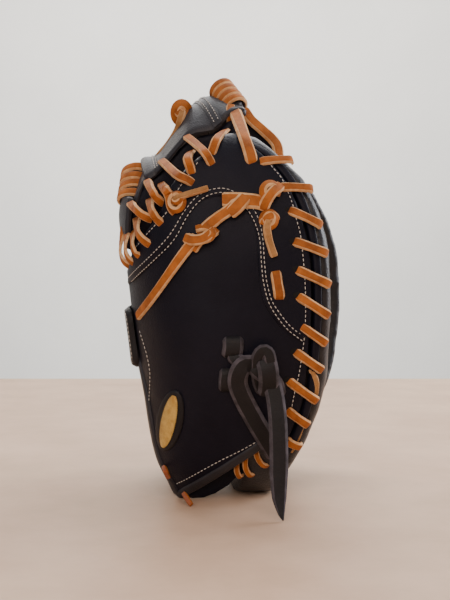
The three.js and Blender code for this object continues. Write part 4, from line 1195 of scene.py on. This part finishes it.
TAIL_PATH = [(29.0, -99.0, 104), (32.0, -104.0, 94), (34.6, -107.0, 82), (36.0, -110.0, 69),
             (36.6, -112.0, 55), (36.8, -113.0, 42), (36.7, -114.0, 28), (37.0, -115.5, 15),
             (38.2, -117.5, 5.5), (39.4, -119.0, 1.2)]
TAIL_TAPER = ([0, 0.7, 0.86, 0.95, 1.0], [1.0, 1.0, 0.78, 0.4, 0.08])
knot_runs = [
    ([(262, 392, 2.0), (258, 380, 4.0), (256, 366, 6.0), (257, 354, 8.0), (262, 348, 9.0),
      (267, 351, 9.5), (269, 360, 10.0)], 8.0),
    ([(264, 357, 8.0), (266, 364, 11.0), (267, 375, 11.5), (267, 386, 9.0), (266, 393, 6.0)], 13.0),
    ([(252, 362, 5.0), (258, 368, 7.0), (266, 374, 6.0), (274, 384, 4.0), (277, 396, 3.0)], 12.0),
]
TAIL_WIDTH, TAIL_FACE = 11.6, (0.1, -1, 0)
strips = strap_strips(knot_runs, KNOT_WALL)
tail_faces = [TAIL_FACE] * len(TAIL_PATH)
tail = strap_mesh(TAIL_PATH, tail_faces, TAIL_WIDTH, KNOT_WALL, step=BAND_STEP, taper=TAIL_TAPER)
strips.append(dress(tail, STRAP))
done(joined(strips), "adjuster_knot_and_tail", None, ("strap_knot",))

# %% [markdown]
# ## Plain embroidered patch
# A small oval badge is sewn on the lower back corner: a black leather border, raised a little, and a
# field of gold satin stitch. Satin stitch is thread laid side by side, so each run of thread is a long
# thin bead from edge to edge, and the light then breaks on it as it does on the real one.

# %% Patch
PATCH_PLACE, PATCH_LEAN, PATCH_SIZE = (-39.2, 62.2), 0.22, (19, 48)
FIELD_WIDTH, FIELD_HALF, THREAD_PITCH, THREAD_LIFT = 13, 21, 0.62, 1.9


def carry_patch(a, b):
    x = PATCH_PLACE[0] + a * math.cos(PATCH_LEAN) + b * math.sin(PATCH_LEAN)
    z = PATCH_PLACE[1] - a * math.sin(PATCH_LEAN) + b * math.cos(PATCH_LEAN)
    return on_side(-1, x, z, 0 * x)


def oval(width, length, count=48):
    turn = np.linspace(0, 2 * math.pi, count, endpoint=False)
    return np.stack([width / 2 * np.cos(turn), length / 2 * np.sin(turn)], axis=1)


piece = wrapped(oval(*PATCH_SIZE), 1.0, 1.6, 0.2, carry_patch, skive=1.5, waves=0.0, low_edge=0.4)
done(piece, "badge_border", STRAP_HIDE, ("patch_border",))
rows = np.arange(-20.4, 20.5, THREAD_PITCH)
halves = 0.5 * FIELD_WIDTH * np.sqrt(np.clip(1 - (rows / FIELD_HALF) ** 2, 0, 1))
middle, normals = carry_patch(0 * rows, rows)
left, _ = carry_patch(-halves, rows)
right, _ = carry_patch(halves, rows)
spans = np.linalg.norm(right - left, axis=1)
threads = []
for m, n, a, span in zip(middle, normals, unit(right - left), spans):
    bend = n + random.uniform(-0.06, 0.06) * a
    threads.append(dashes([m + THREAD_LIFT * n], [a], [unit(bend)], span, THREAD_PITCH))
done(joined(threads), "badge_field", GOLD_THREAD, ("patch_field",), angle=80)

# %% [markdown]
# ## Punched holes
# A Boolean for every hole would break up the shell's even grid. The dark ovals that were set down with
# the laces read the same at this size. They share one finish, so they are joined into one piece.

# %% Punched holes
done(joined(holes), "punched_holes", HOLE_DARK, angle=80)

# %% [markdown]
# ## Stage
# A pale table and a pale wall behind it, as in a plain studio. The table ends where the picture shows
# its far edge. Soft light comes from above and behind, so the top of the web and the rim catch it and
# the side that faces the camera stays dark, with a weak fill in front.

# %% Stage and light
TABLE_HALF, TABLE_NEAR, TABLE_FAR = 2.2, -1.4, 0.72
BACK_HALF, BACK_Y, BACK_LOW, BACK_HIGH = 4, 2.4, -1.5, 3.5
floor = primitive("plane", size=1)
set_points(floor, [(x, y, 0) for y in (TABLE_NEAR, TABLE_FAR) for x in (-TABLE_HALF, TABLE_HALF)])
wall = primitive("plane", size=1)
set_points(wall, [(x, BACK_Y, z) for z in (BACK_LOW, BACK_HIGH) for x in (-BACK_HALF, BACK_HALF)])
TABLE_STONE = finish("honed_pale_stone", "#bd9b80", "#d3b297", 90, 3.0, 0.05, 0.5, shine=0.3)
WALL_PAINT = finish("matt_wall_paint", "#e6e5e2", "#efeeeb", 300, 3.0, 0.05, 0.9)
floor.data.materials.append(TABLE_STONE)
wall.data.materials.append(WALL_PAINT)
floor.name, wall.name = "table_top", "back_wall"

world = bpy.data.worlds.new("soft_room")
bpy.context.scene.world = world
world.use_nodes = True
room = world.node_tree
way = add(room, "ShaderNodeSeparateXYZ", {0: add(room, "ShaderNodeTexCoord").outputs["Generated"]})
up = add(room, "ShaderNodeMath", {0: way.outputs["Z"], 1: way.outputs["Y"]}, operation="ADD")
strength = add(room, "ShaderNodeMapRange", {
    "Value": up.outputs[0], "From Min": -0.9, "From Max": 1.2, "To Min": 0.12, "To Max": 0.95})
background = room.nodes["Background"]
background.inputs["Color"].default_value = linear("#e9eaee")
room.links.new(strength.outputs[0], background.inputs["Strength"])


def soft_light(name, place, aim, size, power, colour):
    bpy.ops.object.light_add(type="AREA", location=place)
    light = bpy.context.object
    light.name = name
    light.data.size, light.data.energy = size, power
    light.data.color = linear(colour)[:3]
    way = [a - b for a, b in zip(aim, place)]
    flat = math.hypot(way[0], way[1])
    light.rotation_euler = (math.atan2(flat, -way[2]), 0, math.atan2(-way[0], way[1]))


soft_light("overhead", (0.1, 0.8, 1.3), (0, 0, 0.2), 1.2, 22, "#ffffff")
soft_light("back_left_key", (-0.8, 1.0, 1.2), (0, 0, 0.1), 0.35, 6, "#fff8f0")
soft_light("over_table", (0.1, -1.3, 0.9), (0, -0.8, 0), 0.9, 8, "#ffdcc0")
soft_light("from_right", (1.2, 0.35, 0.6), (0, 0, 0.15), 0.8, 20, "#f6f8ff")
soft_light("front_fill", (-0.6, -1.5, 0.7), (0, 0, 0.15), 1.2, 9, "#fff8f4")
soft_light("wall_light", (0, 1.4, 0.6), (0, 2.4, -0.3), 2.2, 50, "#fffdf8")
